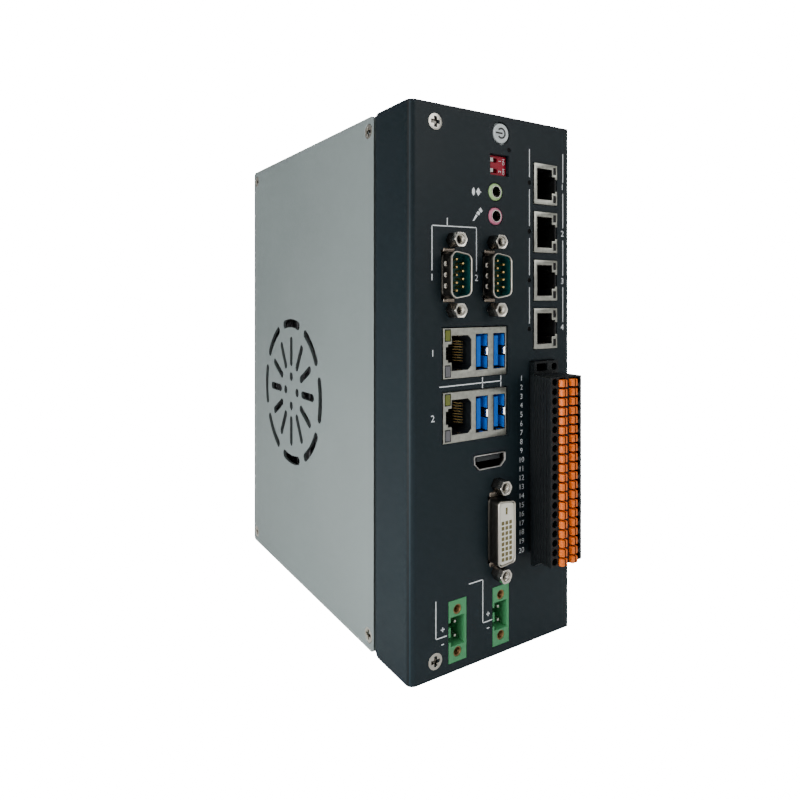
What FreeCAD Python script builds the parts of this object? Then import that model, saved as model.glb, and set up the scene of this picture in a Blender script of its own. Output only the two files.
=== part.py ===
import FreeCAD, Part
import Sketcher
import math
import os

# A fanless industrial computer in an upright sheet-metal case that hangs on a mounting rail.
# Places are given as u from the left face, v from the front face towards the rear and z from
# the base. A piece that stands in front of the panel has a negative v. Each sub-part's
# Placement then carries it to the row frame, whose origin is the middle of the base.

SIZES = [
    # case
    ("body_width", 77.0, "left face to right face"),
    ("body_height", 203.0, "base to top"),
    ("body_depth", 158.0, "front face to rear wall"),
    ("skin_sheet", 1.5, "sheet of the front panel and the side cover"),
    ("frame_sheet", 1.2, "sheet of the chassis"),
    ("panel_bend", 2.7, "outer bend radius of the panel's left edge"),
    ("frame_bend", 1.8, "outer bend radius of the chassis"),
    ("flange_depth", 23.4, "side flange of the front panel, front to back"),
    ("cover_gap", 1.6, "open joint between flange and side cover"),
    ("corner_round", 2.0, "rounded corners of flange and cover"),
    ("lip_width", 9.0, "chassis lips that carry the cover"),
    ("tab_start", 5.0, "left edge of the chassis tabs behind the panel"),
    ("tab_width", 10.5, "width of those tabs"),
    ("tab_height", 13.0, "height of those tabs"),
    ("cut_gap", 0.2, "clearance round each connector in the panel"),
    ("grille_slot", 3.0, "width of a slot in the top and base"),
    ("grille_length", 44.0, "length of a slot in the top and base"),
    ("grille_pitch", 9.0, "slot to slot in the top and base"),
    ("grille_count", 11.0, "slots in the top and in the base"),
    ("grille_start", 42.0, "first slot behind the front face"),
    ("grille_left", 14.0, "slots' left end from the left face"),
    # vents of the side cover
    ("vent_v", 105.1, "vent centre behind the front face"),
    ("vent_z", 88.7, "vent centre above the base"),
    ("ring_radius", 33.0, "middle radius of the curved slots"),
    ("ring_width", 4.0, "width of the curved slots"),
    ("ring_span", 29.0, "angle between a curved slot's end centres"),
    ("ring_count", 8.0, "curved slots"),
    ("spoke_inner", 13.75, "inner end centre of the straight slots"),
    ("spoke_outer", 24.75, "outer end centre of the straight slots"),
    ("spoke_width", 3.5, "width of the straight slots"),
    ("spoke_count", 12.0, "straight slots"),
    ("hub_ring", 7.1, "radius of the ring of round vent holes"),
    ("hub_hole", 4.2, "round vent holes, diameter"),
    ("hub_count", 4.0, "round vent holes"),
    # screws
    ("cover_inset_v", 4.0, "cover screws from the cover's front and rear edge"),
    ("cover_inset_z", 5.2, "cover screws from the cover's top and bottom edge"),
    ("flat_head", 6.0, "countersunk head, diameter"),
    ("screw_core", 3.0, "screw shank, diameter"),
    ("screw_length", 6.0, "case screws, length under the head's top"),
    ("screw_gap", 0.05, "radial clearance round a shank"),
    ("pan_head", 5.8, "pan head, diameter"),
    ("pan_height", 2.0, "pan head, height"),
    ("low_height", 0.5, "low head of the panel screws, height"),
    ("panel_screw_u", 10.4, "panel screws from the left face"),
    ("panel_screw_low", 6.1, "lower panel screw above the base"),
    ("panel_screw_high", 196.5, "upper panel screw above the base"),
    ("recess_width", 0.7, "arm width of the cross recess"),
    ("recess_depth", 1.1, "depth of the cross recess"),
    # boards
    ("board_sheet", 1.6, "circuit board thickness"),
    ("main_u", 44.3, "main board's left side"),
    ("board_front", 4.6, "boards' front edge behind the front face"),
    ("main_rear", 150.0, "main board's rear edge"),
    ("main_low", 3.0, "main board's lower edge"),
    ("main_high", 200.0, "main board's upper edge"),
    ("io_u", 70.75, "network board's left side"),
    ("io_rear", 72.0, "network board's rear edge"),
    ("io_low", 28.0, "network board's lower edge"),
    ("io_high", 190.0, "network board's upper edge"),
    ("supply_u", 24.8, "supply board's left side"),
    ("supply_rear", 36.0, "supply board's rear edge"),
    ("supply_high", 27.0, "supply board's upper edge"),
    ("pillar_width", 6.0, "board pillars across flats"),
    ("pillar_front_v", 20.0, "front pillars behind the front face"),
    ("pillar_rear_v", 143.0, "rear pillars behind the front face"),
    ("pillar_low_z", 8.5, "lower pillars above the base"),
    ("pillar_high_z", 194.5, "upper pillars above the base"),
    ("board_screw_head", 5.2, "board screw head, diameter"),
    ("board_screw_length", 7.0, "board screws, length under the head's top"),
    # cooling
    ("chip_size", 34.0, "processor package"),
    ("chip_height", 1.9, "processor package height"),
    ("sink_width", 84.0, "heat sink, front to back"),
    ("sink_height", 92.0, "heat sink, height"),
    ("sink_base", 5.0, "heat sink base"),
    ("sink_left", 8.0, "fin tips from the left face"),
    ("fin_sheet", 1.8, "fin thickness"),
    ("fin_count", 12.0, "fins"),
    # modules on the main board
    ("memory_front", 52.0, "memory socket's front end"),
    ("memory_low", 142.0, "memory socket above the base"),
    ("memory_length", 67.6, "memory module length"),
    ("memory_height", 30.0, "memory module height"),
    ("memory_chip", 11.0, "memory chip"),
    ("chip_rise", 1.1, "chip height on a module"),
    ("socket_width", 7.0, "module socket, across"),
    ("socket_height", 5.2, "module socket height"),
    ("socket_arm", 2.0, "socket arm and cell holder wall"),
    ("arm_reach", 20.0, "socket arm length"),
    ("card_lift", 2.6, "module above the board"),
    ("card_sheet", 1.0, "module board thickness"),
    ("card_bite", 3.0, "module edge inside its socket"),
    ("storage_front", 58.0, "storage module's front end"),
    ("storage_low", 12.0, "storage module's lower edge"),
    ("storage_length", 80.0, "storage module length"),
    ("storage_height", 22.0, "storage module width"),
    ("cell_v", 36.0, "clock cell behind the front face"),
    ("cell_z", 165.0, "clock cell above the base"),
    ("cell_dia", 20.0, "clock cell diameter"),
    ("cell_sheet", 3.2, "clock cell thickness"),
    ("link_front", 60.0, "board link's front side"),
    ("link_depth", 6.0, "board link, front to back"),
    ("link_low", 70.0, "board link above the base"),
    ("link_height", 40.0, "board link height"),
    # power button and storage light
    ("button_u", 41.1, "button centre from the left face"),
    ("button_z", 196.3, "button centre above the base"),
    ("button_dia", 8.0, "button cap"),
    ("button_gap", 0.3, "gap round the cap"),
    ("button_proud", 0.35, "cap in front of the panel"),
    ("button_collar", 9.4, "collar behind the panel, diameter"),
    ("button_travel", 0.8, "button stroke"),
    ("plunger_dia", 3.0, "button plunger"),
    ("light_u", 45.3, "storage light from the left face"),
    ("light_z", 190.5, "storage light above the base"),
    ("light_dia", 1.9, "light holes"),
    # mode switch
    ("dip_left", 36.1, "mode switch, left edge"),
    ("dip_width", 8.9, "mode switch width"),
    ("dip_low", 180.5, "mode switch, lower edge"),
    ("dip_height", 7.5, "mode switch height"),
    ("dip_window", 9.1, "panel window width"),
    ("dip_recess", 1.7, "switch face behind the front face"),
    ("lever_pitch", 4.0, "lever to lever"),
    ("lever_width", 1.7, "lever, left to right"),
    ("lever_height", 1.4, "lever, top to bottom"),
    ("lever_travel", 2.4, "lever stroke"),
    ("lever_gap", 0.12, "clearance round a lever"),
    ("lever_front", 1.0, "lever tip behind the front face"),
    # audio jacks
    ("jack_u", 38.4, "jack axes from the left face"),
    ("line_z", 173.9, "line output above the base"),
    ("mic_z", 164.8, "microphone input above the base"),
    ("jack_dia", 6.6, "jack nose"),
    ("jack_bore", 3.6, "plug bore"),
    ("jack_depth", 12.0, "plug bore depth"),
    # serial ports
    ("serial_u1", 18.1, "first serial port from the left face"),
    ("serial_u2", 37.0, "second serial port from the left face"),
    ("serial_z", 142.3, "serial ports above the base"),
    ("serial_reach", 6.0, "shell in front of the panel"),
    ("shell_width", 9.2, "serial shell, left to right"),
    ("shell_height", 17.6, "serial shell, top to bottom"),
    ("shell_taper", 1.6, "fall of each slanted side of the shell"),
    ("shell_wall", 0.5, "shell sheet"),
    ("shell_round", 2.4, "shell corners"),
    ("jackscrew_span", 25.0, "jackscrew to jackscrew, serial"),
    ("hex_width", 5.0, "jackscrew across flats"),
    ("hex_reach", 5.5, "jackscrew in front of the panel"),
    ("hex_bore", 2.6, "jackscrew thread, minor diameter"),
    ("pin_dia", 1.0, "serial pins"),
    ("pin_pitch", 2.77, "serial pins, pitch"),
    ("pin_row", 2.84, "serial pins, row to row"),
    # stacked network and data ports
    ("stack_left", 13.9, "port stacks, left edge"),
    ("stack_z1", 105.2, "upper stack, lower edge"),
    ("stack_z2", 82.2, "lower stack, lower edge"),
    ("stack_height", 18.3, "stack height"),
    ("stack_depth", 26.0, "stack behind the front face"),
    ("stack_proud", 0.5, "shields in front of the panel"),
    ("shield_sheet", 0.4, "shield sheet"),
    ("plug_width", 12.6, "network opening, top to bottom"),
    ("plug_height", 9.1, "network opening, left to right"),
    ("cavity_depth", 12.0, "network and data cavities"),
    ("data_width", 13.3, "data opening, top to bottom"),
    ("data_height", 5.6, "data opening, left to right"),
    ("tongue_sheet", 1.9, "data tongue thickness"),
    ("tongue_width", 11.2, "data tongue, top to bottom"),
    # video and monitor ports
    ("video_left", 28.05, "video port, left edge"),
    ("video_low", 70.6, "video port, lower edge"),
    ("video_width", 15.1, "video port width"),
    ("video_height", 5.5, "video port height"),
    ("monitor_u", 39.1, "monitor port from the left face"),
    ("monitor_z", 47.6, "monitor port above the base"),
    ("monitor_width", 8.3, "monitor shell, left to right"),
    ("monitor_height", 24.8, "monitor shell, top to bottom"),
    ("monitor_span", 32.6, "jackscrew to jackscrew, monitor"),
    # supply headers
    ("supply_left1", 16.6, "first supply header, left edge"),
    ("supply_left2", 37.1, "second supply header, left edge"),
    ("supply_low", 3.3, "supply headers, lower edge"),
    ("supply_width", 8.0, "supply header width"),
    ("supply_height", 22.2, "supply header height"),
    ("supply_depth", 12.0, "supply header depth"),
    ("supply_pitch", 5.08, "supply pins, pitch"),
    ("insert_span", 15.24, "threaded insert to threaded insert"),
    ("insert_dia", 3.8, "threaded insert"),
    ("insert_bore", 2.5, "threaded insert, minor diameter"),
    # network jacks of the right column
    ("poe_left", 58.0, "jack column, left edge"),
    ("poe_width", 12.75, "jack width"),
    ("poe_height", 16.0, "jack height"),
    ("poe_first", 179.15, "uppermost jack centre above the base"),
    ("poe_pitch", 19.05, "jack to jack"),
    ("poe_depth", 21.0, "jack behind the front face"),
    ("led_u", 55.8, "jack lights from the left face"),
    # terminal block
    ("term_rows", 20.0, "rows of the terminal block"),
    ("term_pitch", 3.5, "row to row"),
    ("term_low", 34.7, "lowest row's lower edge"),
    ("term_left", 52.3, "plug, left edge"),
    ("term_width", 16.3, "plug width"),
    ("term_back", 4.3, "plug's rear face in front of the panel"),
    ("plug_front", 14.7, "plug's front face in front of the panel"),
    ("lever_rise", 1.5, "release levers in front of the plug"),
    ("header_left", 56.2, "terminal header, left edge"),
    ("header_width", 12.9, "terminal header width"),
    ("header_top", 4.6, "header above the plug"),
    ("header_reach", 2.4, "header in front of the panel"),
    ("entry_dia", 2.8, "wire entry"),
    ("entry_depth", 7.0, "wire entry depth"),
    ("entry_inset", 2.15, "wire entry centre from the plug's side"),
    ("release_width", 3.4, "release lever, left to right"),
    ("release_height", 2.75, "release lever, top to bottom"),
    ("release_inset_left", 5.95, "left levers' centre from the plug's left side"),
    ("release_inset_right", 5.0, "right levers' centre from the plug's right side"),
    # rail clip
    ("rail_z", 90.0, "rail's middle above the base"),
    ("rail_height", 35.0, "mounting rail, top to bottom"),
    ("rail_gap", 0.3, "clearance above and below the rail"),
    ("rail_slot", 1.4, "slot behind each hook for the rail's edge"),
    ("clip_sheet", 3.0, "clip plate"),
    ("clip_width", 44.0, "clip plate width"),
    ("clip_above", 6.0, "clip plate above the rail"),
    ("clip_below", 22.0, "clip plate below the rail"),
    ("hook_sheet", 3.1, "hook behind the rail's edge"),
    ("hook_lap", 2.2, "hook's lap over the rail's edge"),
    ("latch_width", 19.0, "latch width"),
    ("latch_sheet", 2.2, "latch thickness"),
    ("latch_travel", 4.5, "latch stroke"),
    ("slide_gap", 0.3, "clearance round the latch"),
    ("spring_length", 6.0, "latch spring when the latch is pulled down"),
    ("spring_gauge", 0.5, "latch spring strip"),
    ("spring_width", 4.2, "latch spring, across"),
]


class Size:
    """A length with its number and its formula in the sheet; sums and products keep both."""

    def __init__(self, number, formula):
        self.number = float(number)
        self.formula = formula

    def __neg__(self):
        return Size(-self.number, f"(-{self.formula})")

    def __add__(self, other):
        other = as_size(other)
        return Size(self.number + other.number, f"({self.formula} + {other.formula})")

    def __radd__(self, other):
        return as_size(other) + self

    def __sub__(self, other):
        other = as_size(other)
        return Size(self.number - other.number, f"({self.formula} - {other.formula})")

    def __rsub__(self, other):
        return as_size(other) - self

    def __mul__(self, other):
        other = as_size(other)
        return Size(self.number * other.number, f"({self.formula} * {other.formula})")

    def __rmul__(self, other):
        return as_size(other) * self

    def __truediv__(self, other):
        other = as_size(other)
        return Size(self.number / other.number, f"({self.formula} / {other.formula})")


def as_size(value):
    if isinstance(value, Size):
        return value
    return Size(value, f"({value:.6g})")


doc = FreeCAD.newDocument("fanless_industrial_pc")
sheet = doc.addObject("Spreadsheet::Sheet", "Sizes")


class Named:
    """The driving dimensions by name, each a Size tied to its cell."""


dim = Named()
for row, (alias, number, meaning) in enumerate(SIZES, start=1):
    sheet.set(f"A{row}", alias)
    sheet.set(f"B{row}", str(number))
    sheet.set(f"C{row}", meaning)
    sheet.setAlias(f"B{row}", alias)
    setattr(dim, alias, Size(number, f"Sizes.{alias}"))
doc.recompute()

# Places that several pieces share.
PLUG_TOP = dim.term_low + dim.term_rows * dim.term_pitch
FRONT_REACH = dim.plug_front + dim.lever_rise
HOOK_REACH = dim.rail_slot + dim.hook_sheet
CLIP_REACH = dim.clip_sheet + HOOK_REACH
COVER_START = dim.flange_depth + dim.cover_gap
ROW_SHIFT = (-dim.body_width / 2, (FRONT_REACH - dim.body_depth - CLIP_REACH) / 2, as_size(0))
MAIN_RIGHT = dim.main_u + dim.board_sheet
IO_RIGHT = dim.io_u + dim.board_sheet
WALL_LEFT = dim.body_width - dim.frame_sheet
POE_CENTRES = [dim.poe_first - k * dim.poe_pitch for k in range(4)]
SERIAL_CENTRES = [dim.serial_u1, dim.serial_u2]
STACK_LOWS = [dim.stack_z1, dim.stack_z2]
SUPPLY_LEFTS = [dim.supply_left1, dim.supply_left2]

nodes = {}


def bind(thing, prop, size):
    """Ties one property to a formula of the sheet's sizes."""
    thing.setExpression(prop, as_size(size).formula)


def sub_part(thing, label, corner=(0, 0, 0)):
    """Names a finished sub-part and places it, or its corner, in the row frame."""
    thing.Label = label
    for axis, start, shift in zip("xyz", corner, ROW_SHIFT):
        bind(thing, f"Placement.Base.{axis}", shift + start)
    nodes[label] = thing
    return thing


def new_body(label):
    return sub_part(doc.addObject("PartDesign::Body", label), label)


# Flat loops for sketches. A polygon is a list of corners; a disc is ("disc", x, y, radius).
def rect(x0, y0, x1, y1):
    return [(x0, y0), (x1, y0), (x1, y1), (x0, y1)]


def disc(x, y, radius):
    return ("disc", as_size(x), as_size(y), as_size(radius))


def ring_of(x, y, radius, sides, turn=0.0):
    """A regular polygon round a centre, its corners on the given radius."""
    corners = []
    for k in range(sides):
        angle = math.radians(turn + 360.0 * k / sides)
        corners.append((x + radius * round(math.cos(angle), 6), y + radius * round(math.sin(angle), 6)))
    return corners


PLANES = {"x": ("YZ_Plane", 1), "y": ("XZ_Plane", -1), "z": ("XY_Plane", 1)}


def flat_sketch(body, axis, loops, height, origin=(0, 0)):
    """A sketch across one axis at a height on it; each corner is tied to the sheet."""
    role, sign = PLANES[axis]
    plane = [f for f in body.Origin.OriginFeatures if f.Role == role][0]
    sketch = body.newObject("Sketcher::SketchObject", f"{body.Name}_outline")
    sketch.AttachmentSupport = [(plane, "")]
    sketch.MapMode = "FlatFace"
    for part, value in zip("xyz", (origin[0], origin[1], as_size(height) * sign)):
        bind(sketch, f"AttachmentOffset.Base.{part}", value)
    ties = []
    for loop in loops:
        if loop[0] == "disc":
            add_disc(sketch, loop, ties)
        else:
            add_polygon(sketch, loop, ties)
    for number, size in ties:
        bind(sketch, f"Constraints[{number}]", size)
    return sketch


def hold_point(sketch, geo, pos, x, y, ties):
    for kind, size in (("DistanceX", as_size(x)), ("DistanceY", as_size(y))):
        number = sketch.addConstraint(Sketcher.Constraint(kind, -1, 1, geo, pos, size.number))
        ties.append((number, size))


def add_disc(sketch, loop, ties):
    _, x, y, radius = loop
    centre = FreeCAD.Vector(x.number, y.number, 0)
    geo = sketch.addGeometry(Part.Circle(centre, FreeCAD.Vector(0, 0, 1), radius.number))
    hold_point(sketch, geo, 3, x, y, ties)
    number = sketch.addConstraint(Sketcher.Constraint("Radius", geo, radius.number))
    ties.append((number, radius))


def add_polygon(sketch, corners, ties):
    corners = [(as_size(x), as_size(y)) for x, y in corners]
    points = [FreeCAD.Vector(x.number, y.number, 0) for x, y in corners]
    lines = []
    for start, end in zip(points, points[1:] + points[:1]):
        lines.append(sketch.addGeometry(Part.LineSegment(start, end)))
    for line, after in zip(lines, lines[1:] + lines[:1]):
        sketch.addConstraint(Sketcher.Constraint("Coincident", line, 2, after, 1))
    for line, (x, y) in zip(lines, corners):
        hold_point(sketch, line, 1, x, y, ties)


def prism(body, axis, loops, start, end, cut=False, origin=(0, 0)):
    """Adds, or cuts, the loops carried along one axis from start to end."""
    sketch = flat_sketch(body, axis, loops, start, origin)
    kind = "PartDesign::Pocket" if cut else "PartDesign::Pad"
    before = body.Shape.Volume if body.Tip else 0.0
    feature = body.newObject(kind, f"{body.Name}_{'cut' if cut else 'pad'}")
    feature.Profile = sketch
    bind(feature, "Length", as_size(end) - start)
    feature.Reversed = (axis == "y") != cut
    doc.recompute()
    change = body.Shape.Volume - before
    if abs(change) < 1e-6 or (change > 0) == cut:
        raise RuntimeError(f"{body.Name}: a step at {as_size(start).number} changed {change:.3f}")
    return feature


def cut(body, axis, loops, start, end, origin=(0, 0)):
    return prism(body, axis, loops, start, end, True, origin)


def row_of(body, feature, direction, pitch, count):
    """Repeats a feature in a straight row along its sketch's H_Axis or V_Axis."""
    pattern = body.newObject("PartDesign::LinearPattern", f"{body.Name}_row")
    pattern.Originals = [feature]
    pattern.Direction = (feature.Profile[0], [direction])
    bind(pattern, "Length", pitch * (as_size(count) - 1))
    bind(pattern, "Occurrences", count)
    body.Tip = pattern
    doc.recompute()
    return pattern


def ring_pattern(body, features, sketch, axis_name, count):
    """Repeats features in a full circle about an axis of a sketch."""
    pattern = body.newObject("PartDesign::PolarPattern", f"{body.Name}_ring")
    pattern.Originals = features
    pattern.Axis = (sketch, [axis_name])
    pattern.Angle = 360
    bind(pattern, "Occurrences", count)
    body.Tip = pattern
    doc.recompute()
    return pattern


def round_edges(body, radius, wanted):
    """Fillets the edges whose middle point and direction the test wants."""
    doc.recompute()
    base = body.Tip
    names = []
    for number, edge in enumerate(base.Shape.Edges, start=1):
        if len(edge.Vertexes) < 2:
            continue
        first, last = (v.Point for v in edge.Vertexes[:2])
        middle = (first + last) * 0.5
        run = last - first
        if wanted(middle, run.normalize()):
            names.append(f"Edge{number}")
    if not names:
        raise RuntimeError(f"{body.Name}: no edge to round")
    fillet = body.newObject("PartDesign::Fillet", f"{body.Name}_round")
    fillet.Base = (base, names)
    bind(fillet, "Radius", radius)
    doc.recompute()
    return fillet


def near(value, size):
    return abs(value - as_size(size).number) < 1e-4


def block(name, low, high):
    """A plain box between two corners, tied to the sheet."""
    box = doc.addObject("Part::Box", name)
    for prop, part, a, b in zip(("Length", "Width", "Height"), "xyz", low, high):
        bind(box, prop, as_size(b) - a)
        bind(box, f"Placement.Base.{part}", a)
    return box


def block_part(label, low, high):
    """A sub-part that is a plain box."""
    return sub_part(block(label, low, high), label, low)


TURNS = {
    "x": FreeCAD.Rotation(FreeCAD.Vector(0, 1, 0), 90),
    "y": FreeCAD.Rotation(FreeCAD.Vector(1, 0, 0), -90),
    "z": FreeCAD.Rotation(),
}


def rod(name, axis, start, radius, length, sides=0):
    """A bar that runs from a point along one axis, round or with a number of sides."""
    bar = doc.addObject("Part::Prism" if sides else "Part::Cylinder", name)
    bar.Placement.Rotation = TURNS[axis]
    for part, value in zip("xyz", start):
        bind(bar, f"Placement.Base.{part}", value)
    if sides:
        bar.Polygon = sides
    bind(bar, "Circumradius" if sides else "Radius", radius)
    bind(bar, "Height", length)
    return bar


def together(label, pieces, one_solid=False):
    """Several pieces as one node: fused into one solid, or a group of separate ones."""
    kind = "Part::MultiFuse" if one_solid else "Part::Compound"
    group = doc.addObject(kind, label)
    if one_solid:
        group.Shapes = pieces
    else:
        group.Links = pieces
    return sub_part(group, label)


def pierced(name, base, tools):
    """A base with tools cut out of it."""
    result = doc.addObject("Part::Cut", name)
    result.Base = base
    if len(tools) > 1:
        joined = doc.addObject("Part::MultiFuse", f"{name}_tools")
        joined.Shapes = tools
        result.Tool = joined
    else:
        result.Tool = tools[0]
    return result


def shaped(label, shape):
    """A node whose shape is worked out here from the sheet's sizes."""
    piece = doc.addObject("Part::Feature", label)
    piece.Shape = shape
    return sub_part(piece, label)


def vec(u, v, z):
    return FreeCAD.Vector(as_size(u).number, as_size(v).number, as_size(z).number)


def copies(shape, places, turn=None):
    """Copies of one shape at several places, as separate solids of one compound."""
    made = []
    for place in places:
        one = shape.copy()
        one.Placement = FreeCAD.Placement(vec(*place), turn or FreeCAD.Rotation())
        made.append(one)
    return Part.makeCompound(made)


def bolt_hole(x, y):
    """The outline of a screw's clearance hole, eight-sided like the screws."""
    return ring_of(x, y, dim.screw_core / 2 + dim.screw_gap, 8, 22.5)


def eight_sides(radius, height):
    turns = [math.radians(22.5 + 45 * k) for k in range(8)]
    return [FreeCAD.Vector(radius * math.cos(turn), radius * math.sin(turn), height) for turn in turns]


def tapered_bar(rings):
    """A solid of flat faces between eight-sided rings, each given as (radius, height)."""
    rings = [eight_sides(*ring) for ring in rings]
    loops = [rings[0], rings[-1]]
    for low, high in zip(rings, rings[1:]):
        for k in range(8):
            loops.append([low[k - 1], low[k], high[k], high[k - 1]])
    faces = [Part.Face(Part.makePolygon(loop + loop[:1])) for loop in loops]
    return Part.Solid(Part.Shell(faces))


def screw_shape(head_radius, shank_radius, length, head_height, flat, recess=True):
    """A screw along +Z, its head's top at z = 0 and its shank going down, with a cross recess."""
    head_radius, shank_radius, length, head_height = (
        as_size(size).number for size in (head_radius, shank_radius, length, head_height)
    )
    if flat:
        rings = [(head_radius, 0), (shank_radius, shank_radius - head_radius), (shank_radius, -length)]
    else:
        crown = head_height * 0.4
        rings = [
            (head_radius - crown, 0), (head_radius, -crown), (head_radius, -head_height),
            (shank_radius, -head_height), (shank_radius, -length),
        ]
    screw = tapered_bar(rings)
    if not recess:
        return screw
    arm = dim.recess_width.number
    reach = head_radius * 1.1
    depth = dim.recess_depth.number
    across = Part.makeBox(reach, arm, depth * 2, FreeCAD.Vector(-reach / 2, -arm / 2, -depth))
    upright = Part.makeBox(arm, reach, depth * 2, FreeCAD.Vector(-arm / 2, -reach / 2, -depth))
    return screw.cut(across.fuse(upright))


FACE_LEFT = FreeCAD.Rotation(FreeCAD.Vector(0, 1, 0), -90)
FACE_FRONT = FreeCAD.Rotation(FreeCAD.Vector(1, 0, 0), 90)
FACE_REAR = FreeCAD.Rotation(FreeCAD.Vector(1, 0, 0), -90)


# Front panel: one powder-coated sheet, bent back along its left edge into a side flange, with
# a cut-out for each connector.
def make_front_panel():
    body = new_body("front_panel")
    skin, bend = dim.skin_sheet, dim.panel_bend
    profile = [
        (0, 0), (dim.body_width, 0), (dim.body_width, skin), (skin, skin),
        (skin, dim.flange_depth), (0, dim.flange_depth),
    ]
    prism(body, "z", [profile], 0, dim.body_height)
    round_edges(body, bend, lambda m, d: near(abs(d.z), 1) and near(m.x, 0) and near(m.y, 0))
    round_edges(body, bend - skin, lambda m, d: near(abs(d.z), 1) and near(m.x, skin) and near(m.y, skin))
    round_edges(
        body, dim.corner_round,
        lambda m, d: near(abs(d.x), 1) and near(m.y, dim.flange_depth),
    )
    gap = dim.cut_gap
    control_cuts = [
        disc(dim.button_u, dim.button_z, dim.button_dia / 2 + dim.button_gap),
        ring_of(dim.light_u, dim.light_z, dim.light_dia / 2, 8),
        disc(dim.jack_u, dim.line_z, dim.jack_dia / 2 + gap),
        disc(dim.jack_u, dim.mic_z, dim.jack_dia / 2 + gap),
        bolt_hole(dim.panel_screw_u, dim.panel_screw_low),
        bolt_hole(dim.panel_screw_u, dim.panel_screw_high),
        rect(
            dim.dip_left - gap, dim.dip_low - gap,
            dim.dip_left + dim.dip_window, dim.dip_low + dim.dip_height + gap,
        ),
    ]
    cut(body, "y", control_cuts, 0, skin)
    port_cuts = [serial_outline(u, gap) for u in SERIAL_CENTRES]
    port_cuts += [bolt_hole(u, z) for u, z in jackscrew_places()]
    port_cuts += [
        rect(dim.stack_left - gap, z - gap, dim.main_u + gap, z + dim.stack_height + gap)
        for z in STACK_LOWS
    ]
    port_cuts += [video_outline(gap), monitor_outline(gap)]
    port_cuts += [
        rect(
            u - gap, dim.supply_low - gap,
            u + dim.supply_width + gap, dim.supply_low + dim.supply_height + gap,
        )
        for u in SUPPLY_LEFTS
    ]
    cut(body, "y", port_cuts, 0, skin)
    right_cuts = [
        rect(
            dim.poe_left - gap, z - dim.poe_height / 2 - gap,
            dim.poe_left + dim.poe_width + gap, z + dim.poe_height / 2 + gap,
        )
        for z in POE_CENTRES
    ]
    right_cuts += [ring_of(dim.led_u, z, dim.light_dia / 2, 8) for z in POE_CENTRES]
    right_cuts.append(rect(
        dim.header_left - gap, dim.term_low - gap,
        dim.header_left + dim.header_width + gap, PLUG_TOP + dim.header_top + gap,
    ))
    cut(body, "y", right_cuts, 0, skin)


def serial_outline(u, grow=0):
    """The tapered shell outline of a nine-pin port, wide side to the left."""
    wide = dim.shell_height / 2 + grow
    slim = wide - dim.shell_taper
    left = u - dim.shell_width / 2 - grow
    right = u + dim.shell_width / 2 + grow
    return [
        (left, dim.serial_z - wide), (right, dim.serial_z - slim),
        (right, dim.serial_z + slim), (left, dim.serial_z + wide),
    ]


def jackscrew_places():
    """Axes of the hexagonal jackscrews, two to each serial port and to the monitor port."""
    places = []
    for u in SERIAL_CENTRES:
        for side in (-1, 1):
            places.append((u, dim.serial_z + dim.jackscrew_span / 2 * side))
    for side in (-1, 1):
        places.append((dim.monitor_u, dim.monitor_z + dim.monitor_span / 2 * side))
    return places


def video_outline(grow=0):
    """The video port's outline: wide above, with slanted lower corners."""
    left = dim.video_left - grow
    right = dim.video_left + dim.video_width + grow
    low = dim.video_low - grow
    high = dim.video_low + dim.video_height + grow
    slant = dim.video_height * 0.42
    return [
        (left + slant, low), (right - slant, low), (right, low + slant),
        (right, high), (left, high), (left, low + slant),
    ]


def monitor_outline(grow=0):
    half_wide = dim.monitor_width / 2 + grow
    half_high = dim.monitor_height / 2 + grow
    return rect(
        dim.monitor_u - half_wide, dim.monitor_z - half_high,
        dim.monitor_u + half_wide, dim.monitor_z + half_high,
    )


# Side cover: a flat sheet behind the flange, with a rosette of vents and four countersunk
# screw holes.
def cover_screw_places():
    return [
        (COVER_START + dim.cover_inset_v, dim.cover_inset_z),
        (dim.body_depth - dim.cover_inset_v, dim.cover_inset_z),
        (COVER_START + dim.cover_inset_v, dim.body_height - dim.cover_inset_z),
        (dim.body_depth - dim.cover_inset_v, dim.body_height - dim.cover_inset_z),
    ]


def make_side_cover():
    body = new_body("side_cover")
    skin = dim.skin_sheet
    prism(body, "x", [rect(COVER_START, 0, dim.body_depth, dim.body_height)], 0, skin)
    round_edges(body, dim.corner_round, lambda m, d: near(abs(d.x), 1))
    centre = (dim.vent_v, dim.vent_z)
    slot_half = dim.spoke_width / 2
    first = cut(body, "x", [ring_of(dim.spoke_inner, 0, slot_half, 12)], 0, skin, centre)
    last = cut(body, "x", [ring_of(dim.spoke_outer, 0, slot_half, 12)], 0, skin, centre)
    middle = cut(
        body, "x", [rect(dim.spoke_inner, -slot_half, dim.spoke_outer, slot_half)], 0, skin, centre,
    )
    ring_pattern(body, [first, last, middle], middle.Profile[0], "N_Axis", dim.spoke_count)
    hub = cut(body, "x", [ring_of(0, dim.hub_ring, dim.hub_hole / 2, 12)], 0, skin, centre)
    ring_pattern(body, [hub], hub.Profile[0], "N_Axis", dim.hub_count)
    bow = ring_slot(body, centre)
    half_span = dim.ring_span.number / 2
    ends = [
        ring_of(
            dim.ring_radius * round(math.cos(math.radians(turn)), 6),
            dim.ring_radius * round(math.sin(math.radians(turn)), 6), dim.ring_width / 2, 12, turn,
        )
        for turn in (-half_span, half_span)
    ]
    bow_ends = [cut(body, "x", [end], 0, skin, centre) for end in ends]
    ring_pattern(body, [bow] + bow_ends, bow_ends[0].Profile[0], "N_Axis", dim.ring_count)
    cut(body, "x", [bolt_hole(v, z) for v, z in cover_screw_places()], 0, skin)
    countersink(body, skin)


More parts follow.
